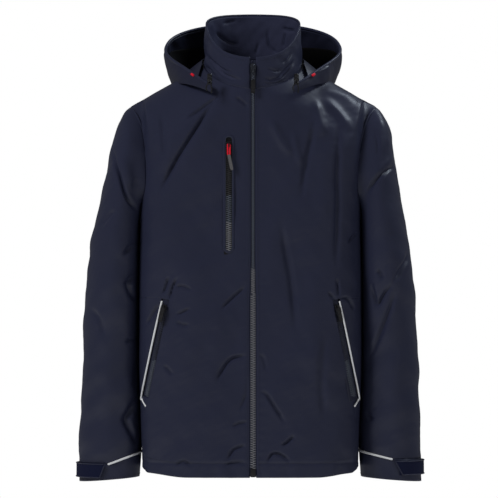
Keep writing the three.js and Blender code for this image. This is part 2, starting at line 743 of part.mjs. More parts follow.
function addHood() {
  const split = 0.36;
  const cut = 0.003;
  const cloth = (a, b, options) => clothGeometry(hoodSurface(a, b), { rows: 7, ...options });
  addMesh('hood_side_right', cloth(-1, -split - cut, { columns: 9 }), NAVY);
  addMesh('hood_centre', cloth(-split + cut, split - cut, { columns: 10 }), NAVY);
  addMesh('hood_side_left', cloth(split + cut, 1, { columns: 9 }), NAVY);
  const liningSurface = hoodSurface(-0.8, 0.8, 0.06, 0.88);
  const inside = { columns: 20, rows: 5, depth: SHELL + 2.6, thickness: LINING };
  addMesh('hood_lining', clothGeometry(liningSurface, inside), BLACK_CLOTH);

  const route = [];
  for (let k = 0; k <= 24; k += 1) {
    const place = lerp(-0.97, 0.97, k / 24);
    const along = 1 - abs(place);
    route.push(hoodPoint(place < 0 ? -along : along, 0).add(vec(0, 0, 2.6)));
  }
  addMesh('hood_drawcord', cordGeometry(route, 1.5, { sides: 6, steps: 36 }), RED_CORD);
  for (const [name, side] of [['right', -1], ['left', 1]]) {
    addCordLock(name, side);
  }
}

// A barrel cord lock with its spring button, which travels down into the barrel.
function addCordLock(name, side) {
  const foot = vec(side * 77, -95, 697);
  const barrel = new THREE.LatheGeometry([
    [0, 0], [4.5, 0], [4.5, 14], [3.1, 14], [3.1, 5], [0, 5],
  ].map(([r, h]) => new THREE.Vector2(r, h)), 12);
  const button = new THREE.LatheGeometry([
    [0, 9.5], [2.6, 9.5], [2.6, 17], [4.2, 17], [4.2, 19.5], [0, 19.5],
  ].map(([r, h]) => new THREE.Vector2(r, h)), 12);
  for (const geometry of [barrel, button]) {
    geometry.rotateX(PI / 2).translate(foot.x, foot.y, foot.z);
  }
  addMesh(`hood_cord_lock_${name}`, barrel, BLACK_PLASTIC);
  addMesh(`hood_lock_button_${name}`, button, BLACK_PLASTIC);
}

// The strip of cloth that joins the hood to the neck seam, lying over the shoulders.
function addHoodNeckBand() {
  const surface = (u, v) => {
    const place = lerp(-0.82, 0.82, u);
    const along = 1 - abs(place);
    const side = sign(place) || 1;
    const phi = lerp(0.34 * PI, PI, along);
    const seam = neckPoint(phi);
    const away = vec(seam.x, seam.y - neckPoint(PI / 2).y, 0).normalize();
    const start = seam.addScaledVector(away, 5).add(vec(0, 0, 6));
    const low = LOW_EDGE.getPoint(along);
    const end = low.clone().lerp(start, 0.24);
    const point = start.clone().lerp(end, v);
    point.z += 3 * sin(PI * v);
    point.x *= side;
    return point;
  };
  const options = { columns: 22, rows: 3 };
  addMesh('hood_neck_band', clothGeometry(surface, options), NAVY);
}

// ---------- assembly ----------

addFrontAndSide('right', -1);
addFrontAndSide('left', 1);
addBackPanel();
addLinings();
addHemFacing();
addPocketBags();
addCollar();
addSleeve('right', -1);
addSleeve('left', 1);
addMainZip();
addChestZip();
addHandPocketZip('right', -1);
addHandPocketZip('left', 1);
addHood();
addHoodNeckBand();
jacket.position.z = -NECK_HEIGHT;

export default jacket;
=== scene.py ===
# A men's foul weather jacket in navy cloth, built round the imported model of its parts.
# Shapes are worked out in millimetres with heights counted from the hem, as on a cutting
# table, and put into the frame's metres by place().

import math

import bmesh
import bpy
import numpy as np
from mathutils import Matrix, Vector


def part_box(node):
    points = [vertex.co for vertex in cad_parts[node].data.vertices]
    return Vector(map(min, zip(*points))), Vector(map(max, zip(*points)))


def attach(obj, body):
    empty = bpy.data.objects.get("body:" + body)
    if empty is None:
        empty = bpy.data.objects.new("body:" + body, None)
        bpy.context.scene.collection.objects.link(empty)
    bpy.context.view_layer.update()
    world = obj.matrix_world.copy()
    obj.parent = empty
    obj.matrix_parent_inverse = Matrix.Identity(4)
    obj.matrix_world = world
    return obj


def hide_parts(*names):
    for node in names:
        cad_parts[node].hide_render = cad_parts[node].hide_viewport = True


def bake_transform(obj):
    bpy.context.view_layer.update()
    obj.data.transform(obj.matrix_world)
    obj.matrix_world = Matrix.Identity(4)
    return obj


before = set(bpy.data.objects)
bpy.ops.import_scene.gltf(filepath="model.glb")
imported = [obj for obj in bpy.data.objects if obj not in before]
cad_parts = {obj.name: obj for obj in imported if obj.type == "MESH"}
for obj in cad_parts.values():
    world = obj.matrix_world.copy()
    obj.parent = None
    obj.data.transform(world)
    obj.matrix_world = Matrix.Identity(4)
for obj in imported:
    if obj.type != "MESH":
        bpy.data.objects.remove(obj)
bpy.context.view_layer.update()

# ---------- driving dimensions, mm ----------

HEM = 1000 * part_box("back_panel")[0][2]
BODY_HALF_WIDTH = 1000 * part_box("back_panel")[1][0]
HEM_HALF_WIDTH = 194
CHEST_HALF_WIDTH = 197.5
HEM_FRONT = -120.5
ZIP_LEAN = 0.05
BACK_DEPTH = 116
BACK_SWELL = 12
FRONT_POWER = 3.6
BACK_POWER = 3.2
YOKE_HEIGHT = 570
SHOULDER_HEIGHT = 674
UNDERARM = 0.655
ARMHOLE_HALF_DEPTH = 55
NECK_HALF_WIDTH = 88
NECK_HALF_DEPTH = 81
NECK_FRONT_HEIGHT = 690
NECK_RISE = 58
COLLAR_FRONT_HEIGHT = 745
COLLAR_RISE = 83
COLLAR_TOP_HALF_WIDTH = 85.5
COLLAR_BACK = 80
COLLAR_ROWS = 34
COLLAR_RIM = [[0], [0.135], [0.31], [0.49], [0.65], [0.77], [0.85], [0.91], [0.96], [1.0], [1.03]]
ZIP_EDGE = 5.6
ZIP_EDGE_HIGH = 2.6
MAIN_ZIP_TOP = 742
MAIN_SLIDER_TOP = 736
LINING_EDGE = 24
FACING_EDGE = 18
SWAY = 5
CLOTH = 1.1
THIN_CLOTH = 0.8
THICK_CLOTH = 1.6
SEAM = 0.7
ARMHOLE_X = 200
HEM_STITCHING = 25
LINING_DEPTH = 10
BAG_DEPTH = 6.5

PIPING_TOP = np.array([157.0, 313.0])
PIPING_BOTTOM = np.array([193.0, 141.0])
ACROSS_PIPING = 0.21
SIDE_PANEL_TOP = 318
SIDE_SEAM_X = 188
SIDE_SEAM_TURN = 128
POCKET_ZIP_INSET = 8
POCKET_SLOT = 11.4
CHEST_ZIP_X = -43
CHEST_ZIP_BOTTOM = 400
CHEST_ZIP_TOP = 603
CHEST_SLOT_HALF_WIDTH = 7

CUFF_SEAM = {-1: (21, 21), 1: (30, 14)}
SIDES = (("right", -1), ("left", 1))


# ---------- small mathematics ----------

def smooth(low, high, x):
    k = np.clip((x - low) / (high - low), 0, 1)
    return k * k * (3 - 2 * k)


def power(value, exponent):
    return np.sign(value) * np.abs(value) ** exponent


def lerp(a, b, k):
    return a + (b - a) * k


def solve(rising, low, high, steps=40):
    """The values between low and high at which rising(value) passes zero."""
    for _ in range(steps):
        middle = (low + high) / 2
        below = rising(middle) < 0
        low = np.where(below, middle, low)
        high = np.where(below, high, middle)
    return (low + high) / 2


def unit(v):
    return v / np.maximum(np.linalg.norm(v, axis=-1, keepdims=True), 1e-12)


def stack(x, y, z):
    return np.stack(np.broadcast_arrays(x, y, z), axis=-1).astype(float)


def catmull(points, k):
    """Points on the smooth curve through points, at parameters k from 0 to 1."""
    points = np.asarray(points, float)
    last = len(points) - 1
    at = np.clip(np.asarray(k, float), 0, 1) * last
    i = np.minimum(at.astype(int), last - 1)
    f = (at - i)[..., None]
    row = lambda n: points[np.clip(n, 0, last)]
    p0, p1, p2, p3 = row(i - 1), row(i), row(i + 1), row(i + 2)
    p0 = np.where((i == 0)[..., None], 2 * p1 - p2, p0)
    p3 = np.where((i == last - 1)[..., None], 2 * p2 - p1, p3)
    return 0.5 * (2 * p1 + (p2 - p0) * f + (2 * p0 - 5 * p1 + 4 * p2 - p3) * f ** 2
                  + (3 * p1 - p0 - 3 * p2 + p3) * f ** 3)


def curve(points, count):
    """Count points, evenly stepped along the smooth curve through points."""
    return catmull(points, np.linspace(0, 1, count))


def lifted(points):
    """Millimetres above the hem, in the frame's metres."""
    return (np.array(points, float) + np.array([0, 0, HEM])) / 1000


def place(points):
    """As lifted, with the sides hanging a little off centre, as they do on a hanger."""
    points = np.array(points, float)
    points[..., 0] -= SWAY * smooth(60, 190, np.abs(points[..., 0])) * smooth(640, 420, points[..., 2])
    return lifted(points)


def grid_normals(grid, outward=1):
    across = np.gradient(grid, axis=1)
    along = np.gradient(grid, axis=0)
    return outward * unit(np.cross(across, along))


def inset(grid, depth, outward=1):
    return grid - grid_normals(grid, outward) * depth


# ---------- the body's surface ----------

def front_y(z):
    return HEM_FRONT + ZIP_LEAN * z


def back_y(z):
    return BACK_DEPTH + BACK_SWELL * np.sin(np.pi * z / 900)


def half_width(z):
    waist = (BODY_HALF_WIDTH - HEM_HALF_WIDTH) * smooth(0, 220, z)
    chest = (BODY_HALF_WIDTH - CHEST_HALF_WIDTH) * smooth(350, 520, z)
    return HEM_HALF_WIDTH + waist - chest


def level_point(phi, z):
    front = np.cos(phi) > 0
    exponent = np.where(front, 2 / FRONT_POWER, 2 / BACK_POWER)
    depth = np.where(front, front_y(z), back_y(z))
    x = half_width(z) * power(np.sin(phi), exponent)
    return stack(x, depth * np.abs(np.cos(phi)) ** exponent, z)


def yoke_height(phi):
    return YOKE_HEIGHT + (SHOULDER_HEIGHT - YOKE_HEIGHT) * np.sin(phi) ** 6


def towards_back(phi):
    return (1 - np.cos(phi)) / 2


def neck_point(phi):
    rise = NECK_RISE * (1 - (1 - towards_back(phi)) ** 2.2)
    y = front_y(NECK_FRONT_HEIGHT) + NECK_HALF_DEPTH * (1 - np.cos(phi))
    return stack(NECK_HALF_WIDTH * np.sin(phi), y, NECK_FRONT_HEIGHT + rise)


def body_point(phi, t):
    phi, t = np.broadcast_arrays(np.asarray(phi, float), np.asarray(t, float))
    low = level_point(phi, np.minimum(t, 1) * yoke_height(phi))
    k = np.clip(t - 1, 0, 1)[..., None]
    start = level_point(phi, yoke_height(phi))
    end = neck_point(phi)
    climb = 0.55 * np.cos(phi) ** 2 * (end[..., 2] - start[..., 2])
    control = start + stack(0 * climb, np.maximum(np.cos(phi), 0) * ZIP_LEAN * climb, climb)
    high = start * (1 - k) ** 2 + control * 2 * k * (1 - k) + end * k ** 2
    return np.where((t <= 1)[..., None], low, high)


def phi_at_x(x, t):
    t = np.asarray(t, float)
    return solve(lambda phi: body_point(phi, t)[..., 0] - x, 0 * t, 0 * t + np.pi / 2)


def phi_in_front(reach, t):
    t = np.asarray(t, float)
    side = body_point(np.pi / 2, t)[..., 1]
    return solve(lambda phi: body_point(phi, t)[..., 1] - side + reach, 0 * t, 0 * t + np.pi / 2)


def phi_behind(reach, t):
    t = np.asarray(t, float)
    side = body_point(np.pi / 2, t)[..., 1]
    return solve(lambda phi: body_point(phi, t)[..., 1] - side - reach, 0 * t + np.pi / 2, 0 * t + np.pi)


def armhole_reach(t):
    share = np.clip((t - UNDERARM) / (1 - UNDERARM), 0, 1)
    return ARMHOLE_HALF_DEPTH * np.maximum(np.sin(np.pi * share), 0) ** 0.75


def front_point(x, z):
    x, z = np.broadcast_arrays(np.asarray(x, float), np.asarray(z, float))
    phi = solve(lambda a: level_point(a, z)[..., 0] - np.abs(x), 0 * x, 0 * x + np.pi / 2)
    point = level_point(phi, z)
    point[..., 0] *= np.where(x < 0, -1, 1)
    return point


def front_normal(x, z):
    across = front_point(x + 0.5, z) - front_point(x - 0.5, z)
    up = front_point(x, z + 0.5) - front_point(x, z - 0.5)
    return unit(np.cross(across, up))


# ---------- folds ----------
# A fold is a path of (x, height) points on the cloth seen from the front, a width and a
# height in mm. A ridge is round and a valley is narrower and deeper.

def along_path(x, z, path):
    """Signed distance from the path, and the share of its length, at each point."""
    path = np.asarray(path, float)
    lengths = np.linalg.norm(np.diff(path, axis=0), axis=1)
    total = lengths.sum()
    best = np.full(x.shape, 1e9)
    signed = np.zeros(x.shape)
    share = np.zeros(x.shape)
    done = 0.0
    for (ax, az), (bx, bz), length in zip(path[:-1], path[1:], lengths):
        dx, dz = (bx - ax) / length, (bz - az) / length
        run = np.clip((x - ax) * dx + (z - az) * dz, 0, length)
        off_x, off_z = x - ax - run * dx, z - az - run * dz
        distance = np.hypot(off_x, off_z)
        nearer = distance < best
        best = np.where(nearer, distance, best)
        signed = np.where(nearer, distance * np.sign(dx * off_z - dz * off_x), signed)
        share = np.where(nearer, (done + run) / total, share)
        done += length
    return signed, share


def fold_height(x, z, folds):
    height = np.zeros(x.shape)
    for kind, path, width, size in folds:
        signed, share = along_path(x, z, curve(path, 6 * (len(path) - 1) + 1))
        fade = smooth(0, 0.3, share) * smooth(1, 0.7, share)
        if kind == "ridge":
            q = signed / width
            shape = np.exp(-q * q)
        else:
            q = signed / (0.75 * width)
            shape = -1.8 * np.exp(-2.2 * q * q)
        height += size * fade * shape
    return height


def waves(points, count, length, steepness, size, seed):
    """Seeded ripples through space; steepness 0 makes upright folds and pi / 2 level ones."""
    rng = np.random.default_rng(seed)
    height = np.zeros(points.shape[:-1])
    for _ in range(count):
        turn = rng.uniform(0, np.pi)
        lean = steepness + rng.normal(0, 0.3)
        k = 2 * np.pi / (length * rng.uniform(0.6, 1.7))
        direction = k * np.array([math.cos(turn) * math.cos(lean), math.sin(turn) * math.cos(lean),
                                  math.sin(lean)])
        height += np.sin(points @ direction + rng.uniform(0, 2 * np.pi))
    return size * height / math.sqrt(count)


def drape(points):
    """The cloth's own unevenness, the same function for every panel so that seams meet."""
    ripples = (waves(points, 10, 120, 0.1, 1.7, 3) + waves(points, 16, 44, 0.7, 0.52, 5)
               + waves(points, 14, 17, 0.6, 0.13, 6))
    return ripples * smooth(730, 610, points[..., 2])


def displaced(grid, normals, height):
    """Moves the grid out by height, but hardly sideways where body and sleeve touch."""
    move = normals * height[..., None]
    x = np.abs(grid[..., 0])
    near = smooth(ARMHOLE_X - 14, ARMHOLE_X - 2, x) * smooth(ARMHOLE_X + 16, ARMHOLE_X + 4, x)
    move[..., 0] *= 1 - 0.95 * near
    return grid + move


# ---------- materials ----------


def node_material(name):
    material = bpy.data.materials.new(name)
    material.use_nodes = True
    return material, material.node_tree.nodes, material.node_tree.links


def ramp(nodes, links, source, low, high):
    mix = nodes.new("ShaderNodeMix")
    mix.data_type = "RGBA"
    mix.inputs["A"].default_value = (*low, 1)
    mix.inputs["B"].default_value = (*high, 1)
    links.new(source, mix.inputs["Factor"])
    return mix.outputs["Result"]


def noise(nodes, links, vector, scale, detail=3.0):
    texture = nodes.new("ShaderNodeTexNoise")
    texture.inputs["Scale"].default_value = scale
    texture.inputs["Detail"].default_value = detail
    links.new(vector, texture.inputs["Vector"])
    return texture.outputs["Fac"]


def bump(nodes, links, height, strength, distance, normal=None):
    node = nodes.new("ShaderNodeBump")
    node.inputs["Strength"].default_value = strength
    node.inputs["Distance"].default_value = distance
    links.new(height, node.inputs["Height"])
    if normal:
        links.new(normal, node.inputs["Normal"])
    return node.outputs["Normal"]


def cloth_material(name, dark, light, roughness, weave=0.0006, crinkle=0.2, gloss=0.3):
    """Woven cloth: UV in metres carries the weave, object space the crinkle and the tone."""
    material, nodes, links = node_material(name)
    shader = nodes["Principled BSDF"]
    coordinates = nodes.new("ShaderNodeTexCoord")
    in_space = coordinates.outputs["Object"]
    tone = noise(nodes, links, in_space, 9.0)
    links.new(ramp(nodes, links, tone, dark, light), shader.inputs["Base Color"])
    rough = nodes.new("ShaderNodeMapRange")
    rough.inputs["To Min"].default_value = roughness - 0.05
    rough.inputs["To Max"].default_value = roughness + 0.06
    links.new(noise(nodes, links, in_space, 30.0), rough.inputs["Value"])
    links.new(rough.outputs["Result"], shader.inputs["Roughness"])
    shader.inputs["Specular IOR Level"].default_value = gloss
    add = nodes.new("ShaderNodeMath")
    add.operation = "ADD"
    for index, direction in enumerate(("X", "Y")):
        wave = nodes.new("ShaderNodeTexWave")
        wave.bands_direction = direction
        wave.inputs["Scale"].default_value = 1 / (20 * weave)
        wave.inputs["Distortion"].default_value = 0.4
        wave.inputs["Detail"].default_value = 1.0
        links.new(coordinates.outputs["UV"], wave.inputs["Vector"])
        links.new(wave.outputs["Fac"], add.inputs[index])
    woven = bump(nodes, links, add.outputs["Value"], 0.5, 0.00005)
    crinkled = bump(nodes, links, noise(nodes, links, in_space, 55.0, 4.0), crinkle, 0.0012, woven)
    links.new(crinkled, shader.inputs["Normal"])
    return material


def hard_material(name, color, roughness, metallic=0.0, grain=0.2):
    material, nodes, links = node_material(name)
    shader = nodes["Principled BSDF"]
    speckle = noise(nodes, links, nodes.new("ShaderNodeTexCoord").outputs["Object"], 400.0)
    darker = tuple(0.75 * c for c in color)
    links.new(ramp(nodes, links, speckle, darker, color), shader.inputs["Base Color"])
    shader.inputs["Roughness"].default_value = roughness
    shader.inputs["Metallic"].default_value = metallic
    links.new(bump(nodes, links, speckle, grain, 0.0001), shader.inputs["Normal"])
    return material


NAVY = cloth_material("navy_cloth", (0.0185, 0.0213, 0.0430), (0.0225, 0.0254, 0.0508), 0.44)
# The hood's cloth is the body's navy made darker: painted shade, the same fabric as the body.
SHADED_HOOD_CLOTH = cloth_material("navy_cloth_painted_shade_hood",
                            (0.0150, 0.0168, 0.0330), (0.0182, 0.0201, 0.0392), 0.46)
NAVY_LINING = cloth_material("navy_collar_lining",
                             (0.0270, 0.0300, 0.0570), (0.0330, 0.0360, 0.0680), 0.6, gloss=0.1)
BLACK_CLOTH = cloth_material("black_lining",
                             (0.0050, 0.0050, 0.0056), (0.0105, 0.0100, 0.0108), 0.8, weave=0.0016, gloss=0.08)
PATCH = cloth_material("deep_navy_patch",
                       (0.0070, 0.0090, 0.0270), (0.0095, 0.0120, 0.0350), 0.7,
                       weave=0.0012, crinkle=0.1, gloss=0.1)
TAPE = cloth_material("zip_tape",
                      (0.0150, 0.0170, 0.0330), (0.0185, 0.0205, 0.0390), 0.45, weave=0.0009, crinkle=0.05)
BLACK_TAPE = cloth_material("black_tape",
                            (0.0055, 0.0055, 0.007), (0.008, 0.008, 0.010), 0.5, weave=0.0009, crinkle=0.05)
# A lighter navy-grey for the cord on the chest slot's lip: a painted highlight along the welt's edge.
WELT_PAINTED_HIGHLIGHT = cloth_material("welt_edge_painted_highlight", (0.034, 0.040, 0.066), (0.044, 0.050, 0.080), 0.45, crinkle=0.05)
PIPING = cloth_material("white_piping", (0.72, 0.73, 0.75), (0.84, 0.85, 0.87), 0.45, crinkle=0.05)
RED = cloth_material("red_cord",
                     (0.60, 0.010, 0.022), (0.80, 0.018, 0.045), 0.5, weave=0.0008, crinkle=0.1)
THREAD = hard_material("navy_thread", (0.020, 0.023, 0.042), 0.6)
# The coil is one grey. The lighter copy is a painted reflection, and the darker and navy copies are painted shade,
# given to stretches of coil by height.
COIL = hard_material("grey_coil", (0.130, 0.150, 0.190), 0.38)
COIL_PAINTED_REFLECTION = hard_material("coil_painted_reflection", (0.280, 0.285, 0.310), 0.35)
NAVY_COIL_PAINTED_SHADE = hard_material("coil_painted_shade_navy", (0.045, 0.049, 0.075), 0.38)
COIL_PAINTED_SHADE = hard_material("coil_painted_shade", (0.050, 0.050, 0.054), 0.38)
PLASTIC = hard_material("black_plastic", (0.010, 0.010, 0.012), 0.42)
GREY_TAIL = hard_material("grey_tail", (0.120, 0.115, 0.120), 0.45)
METAL = hard_material("zip_metal", (0.11, 0.12, 0.15), 0.32, metallic=0.9, grain=0.05)


# ---------- making pieces ----------

def settle(piece, material, body, replaced=()):
    if not piece.data.materials:
        piece.data.materials.append(material)
    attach(piece, body)
    if replaced:
        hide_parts(*replaced)
    return piece


def linked(name, data):
    thing = bpy.data.objects.new(name, data)
    bpy.context.scene.collection.objects.link(thing)
    return thing


def mesh_object(name, vertices, faces, uv=None):
    mesh = bpy.data.meshes.new(name)
    mesh.from_pydata([tuple(v) for v in np.asarray(vertices)], [], [tuple(f) for f in faces])
    mesh.update()
    if uv is not None:
        layer = mesh.uv_layers.new(name="cloth")
        loops = np.empty(len(mesh.loops), int)
        mesh.loops.foreach_get("vertex_index", loops)
        layer.data.foreach_set("uv", np.asarray(uv, float)[loops].ravel())
    mesh.polygons.foreach_set("use_smooth", [True] * len(mesh.polygons))
    return linked(name, mesh)


def grid_faces(rows, columns, closed=False):
    i = np.arange(columns if closed else columns - 1)
    j = np.arange(rows - 1)[:, None]
    a, b = j * columns + i, j * columns + (i + 1) % columns
    return np.stack([a, b, b + columns, a + columns], axis=-1).reshape(-1, 4)


def grid_uv(grid):
    """Distances along the cloth, in metres, from its lower left corner."""
    across = np.zeros(grid.shape[:2])
    across[:, 1:] = np.cumsum(np.linalg.norm(np.diff(grid, axis=1), axis=-1), axis=1)
    across -= across[:, -1:] / 2
    along = np.zeros(grid.shape[:2])
    along[1:] = np.cumsum(np.linalg.norm(np.diff(grid, axis=0), axis=-1), axis=0)
    return np.stack([across, along], axis=-1).reshape(-1, 2) / 1000


def thicken(piece, thickness):
    solid = piece.modifiers.new("cloth", "SOLIDIFY")
    solid.thickness = thickness / 1000
    solid.offset = -1
    solid.use_even_offset = False
    return piece


def cloth_piece(name, grid, outward=1, thickness=CLOTH):
    """A sheet through a grid of points in mm, thickened away from its outer side."""
    faces = grid_faces(*grid.shape[:2])
    if outward < 0:
        faces = faces[:, ::-1]
    return thicken(mesh_object(name, place(grid.reshape(-1, 3)), faces, grid_uv(grid)), thickness)


def cloth_sheet(name, grid, material, body, replaced=(), held="hung", **shape):
    """A piece of cloth that rides on one body."""
    piece = settle(cloth_piece(name, grid, **shape), material, body, replaced)
    return piece


def blended_sheet(piece, material, replaced):
    """Cloth given its material and baked into the frame, in place of the part it replaces."""
    piece.data.materials.append(material)
    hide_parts(replaced)
    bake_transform(piece)


def rings(normals, sideways, sides, flatten=1.0):
    """Round each point of a line, the directions to the sides of a cord."""
    angles = np.linspace(0, 2 * np.pi, sides, endpoint=False)
    return (np.cos(angles)[None, :, None] * normals[:, None] * flatten
            + np.sin(angles)[None, :, None] * sideways[:, None])


def tube(points, radius, sides=8, normals=None, flatten=1.0):
    """Vertices and faces of a round cord with closed ends, along points in mm."""
    points = np.asarray(points, float)
    tangents = unit(np.gradient(points, axis=0))
    if normals is None:
        guess = np.array([0.0, 1.0, 0.0])
        if abs(tangents[0] @ guess) > 0.8:
            guess = np.array([1.0, 0.0, 0.0])
        normals = []
        current = guess
        for tangent in tangents:
            current = current - tangent * (current @ tangent)
            current = current / np.linalg.norm(current)
            normals.append(current)
        normals = np.array(normals)
    body = points[:, None] + rings(normals, np.cross(tangents, normals), sides, flatten) * radius
    vertices = np.concatenate([body.reshape(-1, 3), points[:1] - tangents[:1] * radius * 0.6,
                               points[-1:] + tangents[-1:] * radius * 0.6])
    faces = grid_faces(len(points), sides, closed=True).tolist()
    low, high = len(vertices) - 2, len(vertices) - 1
    last = (len(points) - 1) * sides
    for i in range(sides):
        faces.append([low, (i + 1) % sides, i])
        faces.append([high, last + i, last + (i + 1) % sides])
    return vertices, faces


class Heap:
    """Gathers many small shapes into one mesh."""

    def __init__(self):
        self.vertices, self.faces, self.count = [], [], 0

    def add(self, vertices, faces):
        self.vertices.append(np.asarray(vertices, float))
        self.faces += [[i + self.count for i in face] for face in faces]
        self.count += len(vertices)

    def piece(self, name):
        return mesh_object(name, place(np.concatenate(self.vertices)), self.faces)


def cord_piece(name, points, radius, material, body, replaced=(), sides=10):
    heap = Heap()
    heap.add(*tube(points, radius, sides=sides))
    return settle(heap.piece(name), material, body, replaced)


def add_stitches(heap, points, normals, pitch=3.6, length=2.5, radius=0.28):
    """Topstitching: a row of short threads that dip into the cloth at both ends."""
    points, normals = np.asarray(points, float), np.asarray(normals, float)
    lengths = np.concatenate([[0], np.cumsum(np.linalg.norm(np.diff(points, axis=0), axis=1))])
    for start in np.arange(pitch, lengths[-1] - pitch, pitch):
        at = np.linspace(start, start + length, 5)
        line = np.stack([np.interp(at, lengths, points[:, c]) for c in range(3)], axis=1)
        up = np.stack([np.interp(at, lengths, normals[:, c]) for c in range(3)], axis=1)
        arch = np.array([-0.3, 0.22, 0.36, 0.22, -0.3])[:, None]
        heap.add(*tube(line + up * arch, radius, sides=5))


def bevelled(piece, width, segments=2):
    bevel = piece.modifiers.new("edges", "BEVEL")
    bevel.width = width / 1000
    bevel.segments = segments
    bevel.limit_method = "ANGLE"
    return piece


# ---------- the shell of the body ----------

BODY_ROWS = np.concatenate([np.linspace(0, 1, 270), np.linspace(1, 2, 70)[1:]])
FRONT_COLUMNS = 112
BACK_COLUMNS = 110
CAP_COLUMNS = 7

FRONT_FOLDS = [
    # wearer's right: drawn from the collar to the armhole
    ("valley", [(-66, 676), (-100, 622), (-133, 569), (-153, 530), (-166, 492)], 7, 4.6),
    ("ridge", [(-52, 672), (-84, 622), (-118, 562), (-142, 510)], 13, 2.6),
    ("ridge", [(-98, 668), (-124, 622), (-152, 572), (-172, 530)], 13, 2.2),
    ("valley", [(-58, 680), (-92, 656), (-122, 632)], 5, 2.6),
    ("valley", [(-32, 676), (-18, 666), (-6, 656)], 4.5, 2.4),
    ("valley", [(-163, 650), (-161, 610), (-157, 560)], 8, 1.6),
    ("ridge", [(-140, 640), (-146, 590), (-160, 545)], 9, 1.6),
    # wearer's left: fanning from the shoulder
    ("ridge", [(110, 676), (116, 644), (128, 600)], 8, 4.4),
    ("ridge", [(120, 676), (150, 652), (178, 612)], 8, 4.2),
    ("ridge", [(116, 690), (150, 684), (186, 672)], 8, 2.4),
    ("ridge", [(70, 618), (78, 582), (86, 546)], 6, 3.2),
    ("ridge", [(26, 640), (50, 604), (76, 566)], 8, 2.0),
    ("valley", [(110, 640), (104, 600), (94, 555), (86, 490)], 10, 2.8),
    ("valley", [(154, 640), (151, 560), (153, 475), (152, 360)], 10, 3.4),
    ("valley", [(48, 462), (60, 391), (68, 345), (78, 250)], 11, 3.2),
    ("ridge", [(30, 640), (44, 606), (70, 566)], 7, 3.0),
    ("ridge", [(124, 600), (128, 540), (126, 440)], 16, 2.6),
    ("valley", [(199, 436), (188, 429), (174, 416)], 4.5, 2.4),
    # soft hanging folds
    ("ridge", [(-96, 420), (-106, 300), (-112, 120)], 24, 3.0),
    ("ridge", [(-60, 330), (-68, 230), (-76, 120)], 18, 2.2),
    ("ridge", [(106, 420), (108, 300), (112, 150)], 20, 2.8),
    ("valley", [(134, 260), (124, 190), (130, 90)], 14, 2.0),
    # short curved folds beside the zip
    ("valley", [(-10, 341), (-42, 313), (-58, 294)], 5, 2.8),
    ("valley", [(-6, 216), (-37, 211), (-54, 192), (-66, 166)], 5.5, 3.4),
    ("valley", [(-9, 182), (-10, 153), (-24, 116)], 6, 2.0),
    ("valley", [(-8, 98), (-24, 96), (-38, 90)], 4.5, 2.2),
    ("valley", [(-10, 57), (-34, 50), (-46, 29)], 4.5, 3.0),
    ("valley", [(-12, 27), (-34, 27), (-54, 22)], 4, 2.0),
    ("valley", [(10, 152), (22, 149), (36, 128), (58, 94)], 4.5, 3.4),
    ("valley", [(10, 218), (18, 212), (24, 188)], 5, 1.8),
    ("valley", [(48, 58), (58, 61), (74, 75)], 4.5, 3.6),
    ("valley", [(24, 24), (34, 42), (50, 40), (68, 26)], 4, 3.4),
    ("valley", [(-136, 21), (-121, 29), (-106, 20)], 4, 2.4),
    ("valley", [(-154, 200), (-138, 180)], 5, 2.0),
    # puckers at the pocket tops
    ("valley", [(-146, 358), (-151, 340), (-158, 322)], 3.8, 3.0),
    ("valley", [(-131, 356), (-140, 336), (-146, 312)], 3.8, 3.0),
    ("valley", [(-136, 338), (-120, 338), (-106, 330)], 4, 2.4),
    ("valley", [(-108, 300), (-122, 293), (-134, 288)], 4, 2.4),
    ("valley", [(-134, 276), (-122, 270), (-110, 270)], 4.5, 2.4),
    ("valley", [(-162, 308), (-174, 290), (-186, 268)], 4.5, 2.8),
    ("valley", [(153, 354), (154, 336), (156, 320)], 3.8, 2.8),
    ("valley", [(136, 330), (144, 320), (152, 310)], 4, 2.4),
    ("valley", [(156, 318), (174, 315), (184, 296)], 4.2, 2.8),
]


def body_folds(points):
    x, z = points[..., 0], points[..., 2]
    away = smooth(12, 40, np.abs(x))
    near_zip = np.exp(-(np.abs(x) / 18) ** 2) * smooth(3, 8, np.abs(x))
    hem = smooth(44, 8, z)
    height = drape(points) * away * (0.35 + 0.65 * smooth(0, 30, z))
    height -= 1.3 * np.exp(-((z - HEM_STITCHING) / 2.2) ** 2) + 0.5 * np.exp(-((np.abs(x) - 12) / 1.2) ** 2) * smooth(
        -60, -75, points[..., 1])
    height += waves(points, 10, 15, 1.45, 0.4, 8) * near_zip
    height += waves(points, 10, 34, 0.15, 0.9, 12) * hem
    return height


def cap_reach(psi):
    """How far the body's cloth runs on over the top of the sleeve before its seam."""
    return 0.083 * np.maximum(np.cos(psi), 0) ** 8


